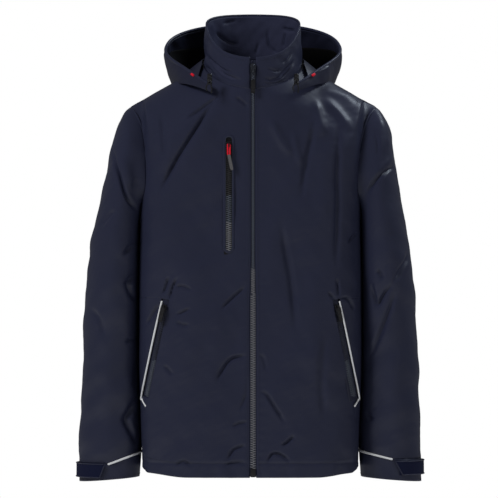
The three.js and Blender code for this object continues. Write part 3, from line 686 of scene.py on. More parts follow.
def with_cap(grid, side, edge_is_last=True):
    """Adds the columns of cloth that lie over the sleeve head, outside the shoulder."""
    psi = np.pi * (1 - BODY_ROWS) / (1 - UNDERARM)
    inside = (psi >= 0) & (psi <= np.pi)
    psi = np.clip(psi, 0, np.pi)
    if side == 0:
        psi = 2 * np.pi - psi
    share = np.linspace(0, 1, CAP_COLUMNS + 1)[1:]
    s = cap_reach(psi)[:, None] * share * inside[:, None]
    cap = sleeve_point(s, np.broadcast_to(psi[:, None], s.shape))
    if side == -1 or (side == 0 and edge_is_last):
        cap[..., 0] *= -1
    if not edge_is_last:
        grid = grid[:, ::-1]
    capped = (s > 1e-4)[..., None]
    whole = np.concatenate([grid, np.where(capped, cap, grid[:, -1:])], axis=1)
    joint = grid.shape[1] - 1
    free = smooth(585, 640, whole[..., 2]) * smooth(135, 170, np.abs(whole[..., 0]))
    free[:, -1] = 0
    free[:, :whole.shape[1] // 2] = 0
    top = int(np.argmin(np.abs(BODY_ROWS - 1)))
    free[top:, joint:] = 0
    free[:top] *= np.where(capped[:top, :1, 0], 1, 0)
    for _ in range(90):
        around = (np.roll(whole, 1, 0) + np.roll(whole, -1, 0) + np.roll(whole, 1, 1) + np.roll(whole, -1, 1)) / 4
        whole = whole + free[..., None] * (around - whole)
    return whole if edge_is_last else whole[:, ::-1]


def full_normals(grid, outward=1):
    """Normals of a grid in which some columns fall together at the edges."""
    normals = grid_normals(grid, outward)
    top = int(np.argmin(np.abs(BODY_ROWS - 1)))
    normals[top - 1:top + 1] = normals[top - 2]
    middle = grid.shape[1] // 2
    for order in (range(middle, grid.shape[1]), range(middle, -1, -1)):
        previous = middle
        for c in order:
            empty = np.linalg.norm(normals[:, c], axis=-1) < 0.5
            normals[empty, c] = normals[empty, previous]
            previous = c
    return normals


def drop_empty_faces(mesh):
    bmesh.ops.dissolve_degenerate(mesh, dist=2e-5, edges=mesh.edges)


def evenly_spaced(t, low, high, columns, samples):
    """Angles from low to high, a row for each t, at even steps along the cloth."""
    angles = lerp(low, high, np.linspace(0, 1, samples)[None])
    steps = np.linalg.norm(np.diff(body_point(angles, t), axis=1), axis=-1)
    arc = np.concatenate([np.zeros((len(t), 1)), np.cumsum(steps, axis=1)], axis=1)
    share = np.linspace(0, 1, columns)
    return np.array([np.interp(share * arc[r, -1], arc[r], angles[r]) for r in range(len(t))])


def front_grid(side):
    t = BODY_ROWS[:, None]
    edge = lerp(ZIP_EDGE, ZIP_EDGE_HIGH, smooth(0.5, 0.72, BODY_ROWS))
    inner = phi_at_x(edge, BODY_ROWS)[:, None]
    outer = phi_in_front(SEAM / 2 + armhole_reach(BODY_ROWS), BODY_ROWS)[:, None]
    grid = body_point(evenly_spaced(t, inner, outer, FRONT_COLUMNS, 400), t)
    grid[..., 0] *= side
    return with_cap(grid, side)


def back_grid():
    t = BODY_ROWS[:, None]
    left = phi_behind(SEAM / 2 + armhole_reach(BODY_ROWS), BODY_ROWS)[:, None]
    grid = body_point(evenly_spaced(t, left, 2 * np.pi - left, BACK_COLUMNS, 600), t)
    return with_cap(with_cap(grid, 0), 0, edge_is_last=False)


def hem_lift(grid):
    """The hem rises a little towards the sides."""
    x, z = grid[..., 0], grid[..., 2]
    lift = 7 * smooth(115, 188, np.abs(x)) + 11 * np.clip((np.abs(x) - 180) / 15, 0, 1) ** 2
    grid[..., 2] += lift * smooth(90, 0, z)
    return grid


def edge_tuck(grid, normals, amount=0.8):
    """Rolls the cloth's side edges in, as a pressed seam does."""
    tuck = np.zeros(grid.shape[:2])
    tuck[:, 0] = amount
    tuck[:, -1] = amount
    return grid - normals * tuck[..., None]


def beside_piping(share, offset):
    run = PIPING_BOTTOM - PIPING_TOP
    outboard = np.array([-run[1], run[0]]) / np.linalg.norm(run)
    return PIPING_TOP + run * share + outboard * offset


def split_front(name, side, grid):
    """Cuts a front half into its front panel, side panel and pocket slots."""
    faces = grid_faces(*grid.shape[:2])
    if side < 0:
        faces = faces[:, ::-1]
    whole = mesh_object(f"whole_{name}", lifted(grid.reshape(-1, 3)), faces, grid_uv(grid))
    seam_low, seam_high = beside_piping(1.0, 2.2), beside_piping(0.0, 2.2)
    slot_low, slot_high = beside_piping(1.0, -POCKET_SLOT), beside_piping(0.0, -POCKET_SLOT)
    slot_top, slot_foot = beside_piping(-0.02, 0), beside_piping(0.99, 0)
    upright_at = lambda x: ((x, 0), (x, 10))
    level_at = lambda z: ((0, z), (10, z))
    cuts = [(seam_low, seam_high), (slot_low, slot_high),
            upright_at(SIDE_SEAM_X), level_at(SIDE_SEAM_TURN), level_at(SIDE_PANEL_TOP),
            (slot_top, beside_piping(-0.02, -10)), (slot_foot, beside_piping(0.99, -10))]
    if side < 0:
        cuts += [upright_at(-CHEST_ZIP_X - CHEST_SLOT_HALF_WIDTH), upright_at(-CHEST_ZIP_X + CHEST_SLOT_HALF_WIDTH),
                 level_at(CHEST_ZIP_BOTTOM), level_at(CHEST_ZIP_TOP)]
    mesh = bmesh.new()
    mesh.from_mesh(whole.data)
    drop_empty_faces(mesh)
    for (ax, az), (bx, bz) in cuts:
        normal = (side * (bz - az), 0, -(bx - ax))
        origin = lifted([side * ax, 0, az])
        geometry = mesh.verts[:] + mesh.edges[:] + mesh.faces[:]
        bmesh.ops.bisect_plane(mesh, geom=geometry, dist=1e-6, plane_co=origin, plane_no=normal)

    def region(face):
        centre = face.calc_center_median()
        x, z = side * centre.x * 1000, centre.z * 1000 - HEM
        right_of = lambda a, b: (x - a[0]) * (b[1] - a[1]) - (z - a[1]) * (b[0] - a[0]) > 0
        beyond_piping = right_of(seam_low, seam_high)
        beyond_seam = beyond_piping if z > SIDE_SEAM_TURN else x > SIDE_SEAM_X
        if z < SIDE_PANEL_TOP and beyond_seam:
            return "side"
        below_top = slot_top[1] > z - (x - slot_top[0]) * ACROSS_PIPING
        above_foot = z - (x - slot_foot[0]) * ACROSS_PIPING > slot_foot[1]
        if below_top and above_foot and not beyond_piping and right_of(slot_low, slot_high):
            return "slot"
        in_chest = abs(x + CHEST_ZIP_X) < CHEST_SLOT_HALF_WIDTH and CHEST_ZIP_BOTTOM < z < CHEST_ZIP_TOP
        if side < 0 and in_chest:
            return "slot"
        return "front"

    regions = {face.index: region(face) for face in mesh.faces}
    for vertex in mesh.verts:
        vertex.co = place(np.array(vertex.co) * 1000 - (0, 0, HEM))
    pieces = {}
    for wanted in ("front", "side"):
        part = mesh.copy()
        part.faces.ensure_lookup_table()
        unwanted = [f for f in part.faces if regions[f.index] != wanted]
        bmesh.ops.delete(part, geom=unwanted, context="FACES")
        data = bpy.data.meshes.new(f"{wanted}_shell_{name}")
        part.to_mesh(data)
        part.free()
        pieces[wanted] = thicken(linked(f"{wanted}_shell_{name}", data), CLOTH)
    mesh.free()
    bpy.data.objects.remove(whole)
    return pieces


def shaped_front(side):
    grid = hem_lift(front_grid(side))
    normals = full_normals(grid, side)
    height = fold_height(grid[..., 0], grid[..., 2], FRONT_FOLDS) + body_folds(grid)
    edge = smooth(0, 10, np.abs(grid[..., 0]) - ZIP_EDGE)
    neck = smooth(2.0, 1.9, BODY_ROWS)[:, None]
    grid = displaced(grid, normals, height * edge * neck)
    return edge_tuck(grid, normals), normals


def shaped_back():
    grid = hem_lift(back_grid())
    normals = full_normals(grid)
    height = body_folds(grid) + waves(grid, 8, 110, 0.0, 1.4, 21) * smooth(690, 560, grid[..., 2])
    neck = smooth(2.0, 1.9, BODY_ROWS)[:, None]
    grid = displaced(grid, normals, height * neck)
    return edge_tuck(grid, normals), normals


def stitch_hem(stitches, grid, normals, column):
    row = int(np.argmin(np.abs(grid[:, column, 2] - HEM_STITCHING)))
    add_stitches(stitches, grid[row, 1:-1], normals[row, 1:-1])


def make_body():
    stitches = Heap()
    for name, side in SIDES:
        grid, normals = shaped_front(side)
        for part, piece in split_front(name, side, grid).items():
            settle(piece, NAVY, "jacket", [f"{part}_panel_{name}"])
        stitch_hem(stitches, grid, normals, 0)
        add_stitches(stitches, grid[2:-2, 2], normals[2:-2, 2])
    grid, normals = shaped_back()
    back = cloth_piece("back_shell", grid)
    mesh = bmesh.new()
    mesh.from_mesh(back.data)
    drop_empty_faces(mesh)
    mesh.to_mesh(back.data)
    mesh.free()
    settle(back, NAVY, "jacket", ["back_panel"])
    stitch_hem(stitches, grid, normals, 50)
    settle(stitches.piece("body_stitching"), THREAD, "jacket")


# ---------- linings and bags ----------

def make_linings():
    rows = np.linspace(0.045, 1.9, 70)
    t = rows[:, None]
    columns = np.linspace(0, 1, 60)[None]
    left = phi_behind(1 + armhole_reach(rows), rows)[:, None]
    grid = inset(body_point(lerp(left, 2 * np.pi - left, columns), t), LINING_DEPTH)
    cloth_sheet("back_mesh_lining", grid, BLACK_CLOTH, "jacket", ["back_lining"], thickness=THIN_CLOTH)
    for name, side in SIDES:
        inner = phi_at_x(LINING_EDGE, rows)[:, None]
        outer = phi_in_front(1 + armhole_reach(rows), rows)[:, None]
        grid = body_point(lerp(inner, outer, columns), t)
        grid[..., 0] *= side
        cloth_sheet(f"front_mesh_lining_{name}", inset(grid, LINING_DEPTH, side), BLACK_CLOTH, "jacket",
                    [f"front_lining_{name}"], outward=side, thickness=THIN_CLOTH)
        bag = front_point(np.linspace(70, 178, 28)[None] * side, np.linspace(70, 300, 40)[:, None])
        cloth_sheet(f"hand_bag_{name}", inset(bag, BAG_DEPTH, side), BLACK_CLOTH, "jacket",
                    [f"hand_pocket_bag_{name}"], outward=side, thickness=THICK_CLOTH)
    bag = front_point(-np.linspace(40, 130, 24)[None], np.linspace(385, 560, 34)[:, None])
    cloth_sheet("chest_bag", inset(bag, BAG_DEPTH, -1), BLACK_CLOTH, "jacket", ["chest_pocket_bag"],
                outward=-1, thickness=THICK_CLOTH)
    rows = np.linspace(1.5, 26, 8) / YOKE_HEIGHT
    start = phi_at_x(FACING_EDGE, rows)[:, None]
    phi = lerp(start, 2 * np.pi - start, np.linspace(0, 1, 260)[None])
    facing = inset(hem_lift(body_point(phi, rows[:, None])), 4)
    cloth_sheet("hem_turn_up", facing, NAVY, "jacket", ["hem_facing"], thickness=0.9)


# ---------- collar ----------

def collar_surface(phi, v):
    seam = neck_point(phi)
    rise = COLLAR_RISE * catmull(COLLAR_RIM, towards_back(phi))[..., 0]
    front = front_y(COLLAR_FRONT_HEIGHT)
    centre = (front + COLLAR_BACK) / 2
    y = centre - (COLLAR_BACK - centre) * np.cos(phi)
    rim = stack(COLLAR_TOP_HALF_WIDTH * np.sin(phi), y, COLLAR_FRONT_HEIGHT + rise)
    return lerp(seam, rim, np.asarray(v)[..., None])


COLLAR_FOLDS = [
    ("valley", [(-88, 762), (-67, 728), (-42, 710), (-4, 702)], 7, 3.0),
    ("valley", [(-70, 702), (-42, 692), (-22, 693)], 4, 2.4),
    ("valley", [(-54, 708), (-46, 696), (-34, 684)], 4, 2.0),
    ("valley", [(8, 713), (38, 706), (59, 722), (76, 746)], 5, 3.0),
    ("valley", [(8, 703), (36, 699), (66, 710)], 4, 2.4),
    ("valley", [(10, 690), (42, 690), (70, 702)], 4, 2.4),
    ("valley", [(52, 735), (62, 745), (70, 758)], 4, 2.0),
    ("valley", [(-86, 735), (-72, 716), (-62, 700)], 4, 2.6),
    ("valley", [(-76, 742), (-56, 726), (-36, 718)], 4, 2.0),
    ("valley", [(24, 728), (40, 722), (52, 726)], 4, 1.8),
]
INNER_COLLAR_FOLDS = [
    ("valley", [(-72, 800), (-44, 780), (-22, 778)], 5, 3.2),
    ("valley", [(-56, 765), (-40, 758), (-30, 762)], 5, 2.4),
    ("valley", [(28, 806), (31, 775), (50, 757)], 5, 2.6),
    ("valley", [(54, 806), (66, 802), (80, 800)], 5, 3.2),
    ("valley", [(56, 768), (59, 785), (62, 800)], 4, 2.8),
    ("valley", [(4, 756), (8, 768), (12, 782)], 4, 1.8),
    ("valley", [(-60, 812), (-44, 818), (-30, 820)], 4, 2.0),
]


def collar_folds(grid, phi, v, inner):
    """Folds listed as seen from the front: outside on its front half, inside on its back half."""
    x, z = grid[..., 0], grid[..., 2]
    front = smooth(-0.1, 0.25, np.cos(phi))
    if inner:
        height = fold_height(x, z, INNER_COLLAR_FOLDS) * (1 - front) * -1.0
    else:
        height = fold_height(x, z, COLLAR_FOLDS) * front
    height = height + waves(grid, 12, 46, 0.6, 1.3, 31) + waves(grid, 14, 19, 0.7, 0.34, 33)
    return height * smooth(0, 0.12, v) * smooth(0.98, 0.84, v)


def make_collar():
    for name, edge, depth in (("collar_shell", ZIP_EDGE, 0.0), ("collar_inner", 6.0, 3.2)):
        start = math.asin(edge / NECK_HALF_WIDTH)
        phi = np.linspace(start, 2 * np.pi - start, 200)[None]
        v = np.linspace(0.0, 1, COLLAR_ROWS)[:, None]
        phi, v = np.broadcast_arrays(phi, v)
        grid = collar_surface(phi, v)
        normals = grid_normals(grid)
        front = smooth(6, 30, np.degrees(np.minimum(phi, 2 * np.pi - phi)))
        height = collar_folds(grid, phi, v, depth > 0) * front - depth
        grid = grid + normals * height[..., None]
        if depth:
            cloth_sheet(name, grid[v[:, 0] < 0.985], NAVY_LINING, "jacket", ["collar_lining"],
                        held="stretched", thickness=THIN_CLOTH)
        else:
            roll = []
            for angle in np.linspace(0.35, np.pi, 7):
                out = -normals[-1] * 1.5 * (1 - math.cos(angle))
                up = np.array([0, 0, 1.5 * math.sin(angle)])
                roll.append(grid[-1] + out + up)
            for drop in (1, 2.5):
                roll.append(grid[-1] - normals[-1] * 3.0 - np.array([0, 0, drop]))
            grid = np.concatenate([grid, np.array(roll)])
            cloth_sheet(name, grid, NAVY, "jacket", ["collar_outer"], held="stretched", thickness=THIN_CLOTH)
            stitches = Heap()
            for row in (int(0.9 * COLLAR_ROWS), 2):
                add_stitches(stitches, grid[row, 2:-2], normals[row, 2:-2])
            settle(stitches.piece("collar_stitching"), THREAD, "jacket")
    loop = curve([(-32, 61, 752), (-22, 56, 741), (0, 53, 737), (22, 56, 741), (32, 61, 752)], 40)
    cord_piece("hanger_cord", loop, 2, BLACK_CLOTH, "jacket", ["hanger_loop"])


# ---------- sleeves ----------

SLEEVE_STATIONS = np.array([
    [199.2, 441, 198.6, 674, 55],
    [199.0, 433, 229.5, 653, 62],
    [199.4, 422, 248, 608, 68],
    [199.4, 406, 261, 545, 72],
    [199.7, 372, 275, 470, 74],
    [199.9, 305, 289, 385, 71],
    [199.9, 220, 297, 280, 66],
    [197.7, 130, 303, 145, 61],
    [195.0, 60, 307, 50, 58],
    [199.0, -3, 308, -12, 56],
])
SLEEVE_START_GAP = 0.2
INNER_SLEEVE_POWER = 0.62


def sleeve_ring(s, psi):
    at = catmull(SLEEVE_STATIONS, s)
    k = (1 + np.cos(psi)) / 2
    x = lerp(at[..., 0], at[..., 2], k)
    z = lerp(at[..., 1], at[..., 3], k)
    exponent = lerp(1, INNER_SLEEVE_POWER, smooth(0.15, -0.6, np.cos(psi)))
    return stack(x, -at[..., 4] * power(np.sin(psi), exponent), z)


def armhole_point(psi):
    turn = np.mod(psi, 2 * np.pi)
    in_front = turn <= np.pi
    t = lerp(1, UNDERARM, np.where(in_front, turn, 2 * np.pi - turn) / np.pi)
    reach = armhole_reach(t)
    phi = np.where(in_front, phi_in_front(reach, t), phi_behind(reach, t))
    return body_point(phi, t) + np.array([SLEEVE_START_GAP, 0, 0])


def sleeve_point(s, psi):
    s, psi = np.broadcast_arrays(np.asarray(s, float), np.asarray(psi, float))
    point = sleeve_ring(s, psi)
    fade = np.maximum(1 - s / 0.14, 0)[..., None] ** 2
    shift = armhole_point(psi) - sleeve_ring(0 * s, psi)
    return point + shift * fade


def cuff_seam_height(side, psi):
    low, rise = CUFF_SEAM[side]
    return low + rise * np.maximum(-np.cos(psi), 0)


def sleeve_at_height(z, psi):
    psi = np.asarray(psi, float)
    return solve(lambda s: z - sleeve_point(s, psi)[..., 2], 0 * psi + 0.6, 0 * psi + 1)


SLEEVE_FOLDS = {
    -1: [
        ("valley", [(-252, 594), (-240, 548), (-222, 500), (-190, 458)], 6, 4.2),
        ("ridge", [(-236, 584), (-226, 544), (-206, 504)], 9, 2.4),
        ("valley", [(-270, 440), (-252, 466), (-236, 472)], 9, 2.4),
        ("valley", [(-228, 392), (-210, 410), (-188, 430)], 8, 3.6),
        ("valley", [(-226, 340), (-208, 356), (-190, 380)], 10, 5.0),
        ("valley", [(-222, 350), (-212, 326), (-198, 306)], 10, 4.4),
        ("valley", [(-218, 519), (-204, 523), (-192, 519)], 6, 2.0),
        ("valley", [(-208, 456), (-200, 466), (-194, 478)], 5, 2.2),
        ("valley", [(-284, 300), (-268, 276), (-264, 246)], 8, 2.2),
        ("valley", [(-224, 238), (-210, 243), (-196, 242)], 5, 2.6),
        ("valley", [(-200, 216), (-204, 176), (-206, 148)], 9, 3.6),
        ("valley", [(-200, 142), (-216, 112), (-222, 100), (-212, 76), (-203, 52)], 11, 4.4),
        ("ridge", [(-262, 230), (-256, 150), (-262, 80)], 16, 2.0),
    ],
    1: [
        ("valley", [(264, 556), (244, 546), (222, 530), (202, 498)], 6, 3.8),
        ("ridge", [(224, 650), (238, 614), (248, 578)], 7, 3.0),
        ("ridge", [(236, 552), (250, 566), (262, 580)], 6, 1.8),
        ("valley", [(290, 408), (273, 375), (254, 344)], 8, 3.8),
        ("valley", [(258, 344), (240, 328), (226, 306), (218, 328), (216, 350)], 6, 3.6),
        ("valley", [(262, 334), (240, 276), (214, 214)], 9, 3.4),
        ("valley", [(222, 366), (230, 362), (236, 350)], 5, 2.8),
        ("valley", [(206, 114), (212, 106), (220, 98)], 5, 2.2),
        ("valley", [(212, 620), (222, 600), (226, 570)], 8, 1.8),
        ("ridge", [(262, 230), (256, 150), (262, 80)], 16, 2.0),
    ],
}


def shaped_sleeve(side, psi, s):
    grid = sleeve_point(s, psi)
    grid[..., 0] *= side
    normals = grid_normals(grid, side)
    x, y, z = grid[..., 0], grid[..., 1], grid[..., 2]
    in_front = smooth(12, -12, y)
    height = fold_height(x, z, SLEEVE_FOLDS[side]) * in_front * smooth(0.02, 0.12, s)
    height += fold_height(-x, z - 20, SLEEVE_FOLDS[-side]) * (1 - in_front) * smooth(0.02, 0.12, s)
    height *= smooth(0.97, 0.75, np.cos(psi))
    height += drape(grid) + waves(grid, 12, 60, 1.0, 0.8, 41) * smooth(0.05, 0.2, s)
    rest = smooth(0, 1, (z - cuff_seam_height(side, psi)) / 20)
    grid = displaced(grid, normals, height * rest)
    return grid, normals


def make_sleeve(name, side):
    body = f"{name}_sleeve"
    seam = 0.005
    blend_line = place([[side * ARMHOLE_X, 0, 440], [side * 363, 0, 250]])
    for half, turn in (("front", 0), ("back", np.pi)):
        psi = np.linspace(turn + seam, turn + np.pi - seam, 62)[None]
        end = sleeve_at_height(cuff_seam_height(side, psi) + SEAM / 2, psi)
        start = cap_reach(psi) + 0.001 * smooth(0.0, 0.004, cap_reach(psi))
        s = lerp(start, end, np.linspace(0, 1, 230)[:, None])
        psi = np.broadcast_to(psi, s.shape)
        grid, normals = shaped_sleeve(side, psi, s)
        grid = edge_tuck(grid, normals, 0.6)
        piece = cloth_piece(f"sleeve_{half}_shell_{name}", grid, outward=side)
        blended_sheet(piece, NAVY, f"sleeve_{half}_{name}")

    psi = np.linspace(seam, 2 * np.pi - seam, 150)[None]
    start = sleeve_at_height(cuff_seam_height(side, psi) - SEAM / 2, psi)
    s = lerp(start, 1 + 0 * start, np.linspace(0, 1, 20)[:, None])
    cuff = sleeve_point(s, np.broadcast_to(psi, s.shape))
    cuff[..., 0] *= side
    normals = grid_normals(cuff, side)
    cuff = displaced(cuff, normals, waves(cuff, 8, 40, 0.2, 0.5, 51))
    cloth_sheet(f"cuff_shell_{name}", cuff, NAVY, body, [f"cuff_{name}"], outward=side, thickness=THICK_CLOTH)
    stitches = Heap()
    for row in (1, 17):
        add_stitches(stitches, cuff[row, 1:-1], normals[row, 1:-1])

    psi = np.linspace(0.49 * np.pi, 1.02 * np.pi, 60)
    line = on_sleeve(side, psi, cuff_seam_height(side, psi), 1.0)
    cord_piece(f"cuff_piping_cord_{name}", line, 1.9, PIPING, body, [f"cuff_piping_{name}"])
    settle(stitches.piece(f"cuff_stitching_{name}"), THREAD, body)

    turn = np.linspace(0, 2 * np.pi, 160)
    taped = sleeve_point(cap_reach(turn), turn) * np.array([side, 1, 1]) - np.array([side * 1.6, 0, 0])
    middle = taped.mean(axis=0)
    inwards = unit((middle - taped) * np.array([0, 1, 1]))
    cord_piece(f"armhole_binding_{name}", taped + inwards * 2.6, 2.4, NAVY, "jacket", sides=8)

    patch = sleeve_strip(side, -0.28 * np.pi, 0.42 * np.pi, 1, 17, 2.2)
    cloth_sheet(f"loop_patch_{name}", patch, PATCH, body, [f"cuff_loop_patch_{name}"], outward=side, thickness=1.2)
    low = -3 if side < 0 else 2
    tab = sleeve_strip(side, -0.3 * np.pi, 0.46 * np.pi, low, low + 24, 5.0, slant=0.14 if side < 0 else 0.2)
    tab_body = f"{name}_cuff_tab"
    bevelled(cloth_sheet(f"tab_{name}", tab, PATCH, tab_body, [f"cuff_tab_{name}"], outward=side, thickness=1.8), 0.5)
    outline = np.concatenate([tab[0, ::3], tab[::2, -1], tab[-1, ::-3]])
    cord_piece(f"tab_edging_{name}", outline, 1.15, NAVY, tab_body, sides=8)


def on_sleeve(side, psi, z, offset):
    s = sleeve_at_height(z, psi)
    around = sleeve_point(s, psi + 0.01) - sleeve_point(s, psi - 0.01)
    along = sleeve_point(np.minimum(s + 0.005, 1), psi) - sleeve_point(s - 0.005, psi)
    point = sleeve_point(s, psi) + unit(np.cross(around, along)) * np.asarray(offset)[..., None]
    point[..., 0] *= side
    return point


def sleeve_strip(side, psi_from, psi_to, low, high, offset, slant=0):
    """A strip round the sleeve whose far end is slanted, longest along its upper edge."""
    u = np.linspace(0, 1, 60)[None]
    v = np.linspace(0, 1, 12)[:, None]
    psi = lerp(psi_from, psi_to - slant * v, u)
    return on_sleeve(side, psi, lerp(high, low, v + 0 * u), offset)


# ---------- hood ----------

HOOD_BAND_DEPTH = 26.4
RIM = [(73, -84, 696), (93, -70, 708), (120, -42, 727), (150, -5, 748), (160, 30, 765),
       (150, 66, 786), (122, 98, 802), (74, 120, 813), (0, 127, 818)]
LOW_EDGE = [(72, -86, 683), (94, -72, 692), (119, -46, 700), (138, -6, 702), (146, 36, 702),
            (142, 78, 697), (108, 118, 680), (58, 142, 664), (0, 148, 659)]


def hood_point(place_, q):
    """place_ runs along the rim from -1 at the wearer's right tip over 0 at the back to 1."""
    along = 1 - np.abs(place_)
    side = np.where(place_ < 0, -1.0, 1.0)
    rim = catmull(RIM, along)
    low = catmull(LOW_EDGE, along)
    point = lerp(rim, low, np.asarray(q)[..., None])
    away = point * np.array([1, 1, 0])
    swell = 4 * q * (1 - q) * lerp(1, 26, smooth(0.35, 1, along))
    point = point + unit(away) * swell[..., None]
    point[..., 0] *= side
    return point


def hood_folds(grid, place_, q):
    height = waves(grid, 12, 70, 0.4, 1.7, 61) + waves(grid, 14, 26, 0.8, 0.45, 62)
    middle = smooth(0, 0.3, 1 - np.abs(place_))
    return height * smooth(0, 0.15, q) * middle


# Hood sheets default to the darker navy, which is painted shade.
def hood_sheet(name, place_, q, height, replaced=(), material=SHADED_HOOD_CLOTH, thickness=CLOTH):
    """A sheet along the hood's surface, outside it by height(grid, place_, q)."""
    place_, q = np.broadcast_arrays(place_, q)
    grid = hood_point(place_, q)
    grid = grid + grid_normals(grid) * height(grid, place_, q)[..., None]
    cloth_sheet(name, grid, material, "hood", replaced, thickness=thickness)


def facing_height(grid, place_, q):
    ripple = waves(grid, 14, 34, 0.5, 1.5, 71) + waves(grid, 12, 15, 0.8, 0.3, 72)
    return ripple * smooth(0, 0.1, q) - 4.2


def lining_height(grid, place_, q):
    return hood_folds(grid, place_, q) * 0.8 - 6.6


def make_hood():
    split, cut = 0.36, 0.001
    for name, low, high, node in (("right", -1, -split - cut, "hood_side_right"),
                                  ("centre", -split + cut, split - cut, "hood_centre"),
                                  ("left", split + cut, 1, "hood_side_left")):
        hood_sheet(f"hood_shell_{name}", np.linspace(low, high, 90)[None], np.linspace(0, 1, 44)[:, None],
                   hood_folds, [node])
    place_ = np.linspace(-0.97, 0.97, 200)[None]
    depth = 0.36 + 0.05 * np.sin(19 * place_)
    q = 0.015 + (depth - 0.015) * np.linspace(0, 1, 24)[:, None]
    hood_sheet("hood_facing", place_, q, facing_height, thickness=THIN_CLOTH)
    hood_sheet("hood_mesh_lining", np.linspace(-0.9, 0.9, 200)[None], np.linspace(0.24, 0.94, 30)[:, None],
               lining_height, ["hood_lining"], BLACK_CLOTH, THIN_CLOTH)

    place_ = np.linspace(-0.985, 0.985, 260)
    line = hood_point(place_, 0 * place_)
    normals = grid_normals(hood_point(*np.broadcast_arrays(place_[None], np.array([[0.0], [0.02]]))))[0]
    cord_piece("hood_rim_channel", line - normals * 1.8, 2.6, NAVY, "hood", ["hood_drawcord"], sides=12)

    for name, side in SIDES:
        make_hood_band(name, side)


def make_hood_band(name, side):
    """The cloth from the collar seam to the hood's lower edge."""
    away_from_neck = np.array([side * 0.5, 0.35, -1])
    start_point = np.array([side * NECK_HALF_WIDTH, -5, 735])
    line = place([start_point, start_point + away_from_neck * HOOD_BAND_DEPTH])
    place_ = np.linspace(0, 0.82, 110)[None]
    v = np.linspace(0, 1, 34)[:, None]
    place_, v = np.broadcast_arrays(place_, v)
    along = 1 - place_
    phi = lerp(0.34 * np.pi, np.pi, along)
    seam = neck_point(phi)
    away = unit((seam - neck_point(np.full_like(phi, np.pi / 2)) * np.array([0, 1, 0])) * np.array([1, 1, 0]))
    start = seam + away * 4 + np.array([0, 0, 6])
    inside = hood_point(*np.broadcast_arrays(place_[:1], np.linspace(0.99, 0.94, 4)[:, None]))
    inside = inside + grid_normals(inside) * 4.5
    grid = lerp(start, inside[0], v[..., None])
    grid[..., 2] += 3 * np.sin(np.pi * v) + 1.5 * (1 - v)
    grid = np.concatenate([grid, inside[1:]])
    grid[..., 0] *= side
    piece = cloth_piece(f"hood_band_{name}", grid, outward=side)
    # The band takes the hood's darker navy, painted shade.
    blended_sheet(piece, SHADED_HOOD_CLOTH, "hood_neck_band")


# ---------- zip fasteners ----------

def basis(origin, up, outwards):
    along = unit(np.asarray(up, float))
    across = unit(np.cross(outwards, along))
    out = np.cross(along, across)
    matrix = np.stack([across, out, along])
    return lambda points: np.asarray(origin, float) + np.asarray(points, float) @ matrix


def box_shape(low, high):
    x, y, z = zip(low, high)
    corners = [(x[i], y[j], z[k]) for k in (0, 1) for j in (0, 1) for i in (0, 1)]
    faces = [(0, 2, 3, 1), (4, 5, 7, 6), (0, 1, 5, 4), (2, 6, 7, 3), (0, 4, 6, 2), (1, 3, 7, 5)]
    return np.array(corners, float), faces


def coil_piece(name, where, low, high, half, level, pitch, thick, look, replaced):
    """Interlocking slanted teeth of a moulded coil, and the two rows of their loops."""
    heap = Heap()
    middle = (level[0] + level[1]) / 2
    z, side = low, -1
    while z < high:
        line = [(-side * 0.5, middle + 0.3, z - 0.25), (side * 0.6 * half, level[1] - 0.1, z),
                (side * half, middle + 0.1, z + 0.3), (side * 0.9 * half, level[0], z + 0.55)]
        vertices, faces = tube(np.array(line), thick, sides=5)
        heap.add(where(vertices), faces)
        z += pitch / 2
        side = -side
    settle(heap.piece(name), look, "jacket", replaced)


def zip_strip(name, where, low, high, level, material, replaced, rows=120):
    x = np.linspace(low[0], high[0], 9)[None]
    z = np.linspace(low[1], high[1], rows)[:, None]
    grid = where(stack(x, level, z))
    outward = np.sign((grid_normals(grid) @ (where([0, 1, 0]) - where([0, 0, 0]))).mean()) or 1
    cloth_sheet(name, grid, material, "jacket", [replaced], outward=outward, thickness=0.9)


SLIDER_OUTLINE = [(-0.5, 0), (0.5, 0), (0.82, -0.08), (1, -0.2), (0.93, -0.5), (0.74, -0.86), (0.62, -1),
                  (-0.62, -1), (-0.74, -0.86), (-0.93, -0.5), (-1, -0.2), (-0.82, -0.08)]
SLIDER_PLATE = 2.4
BRIDGE_SPACE = 3.4


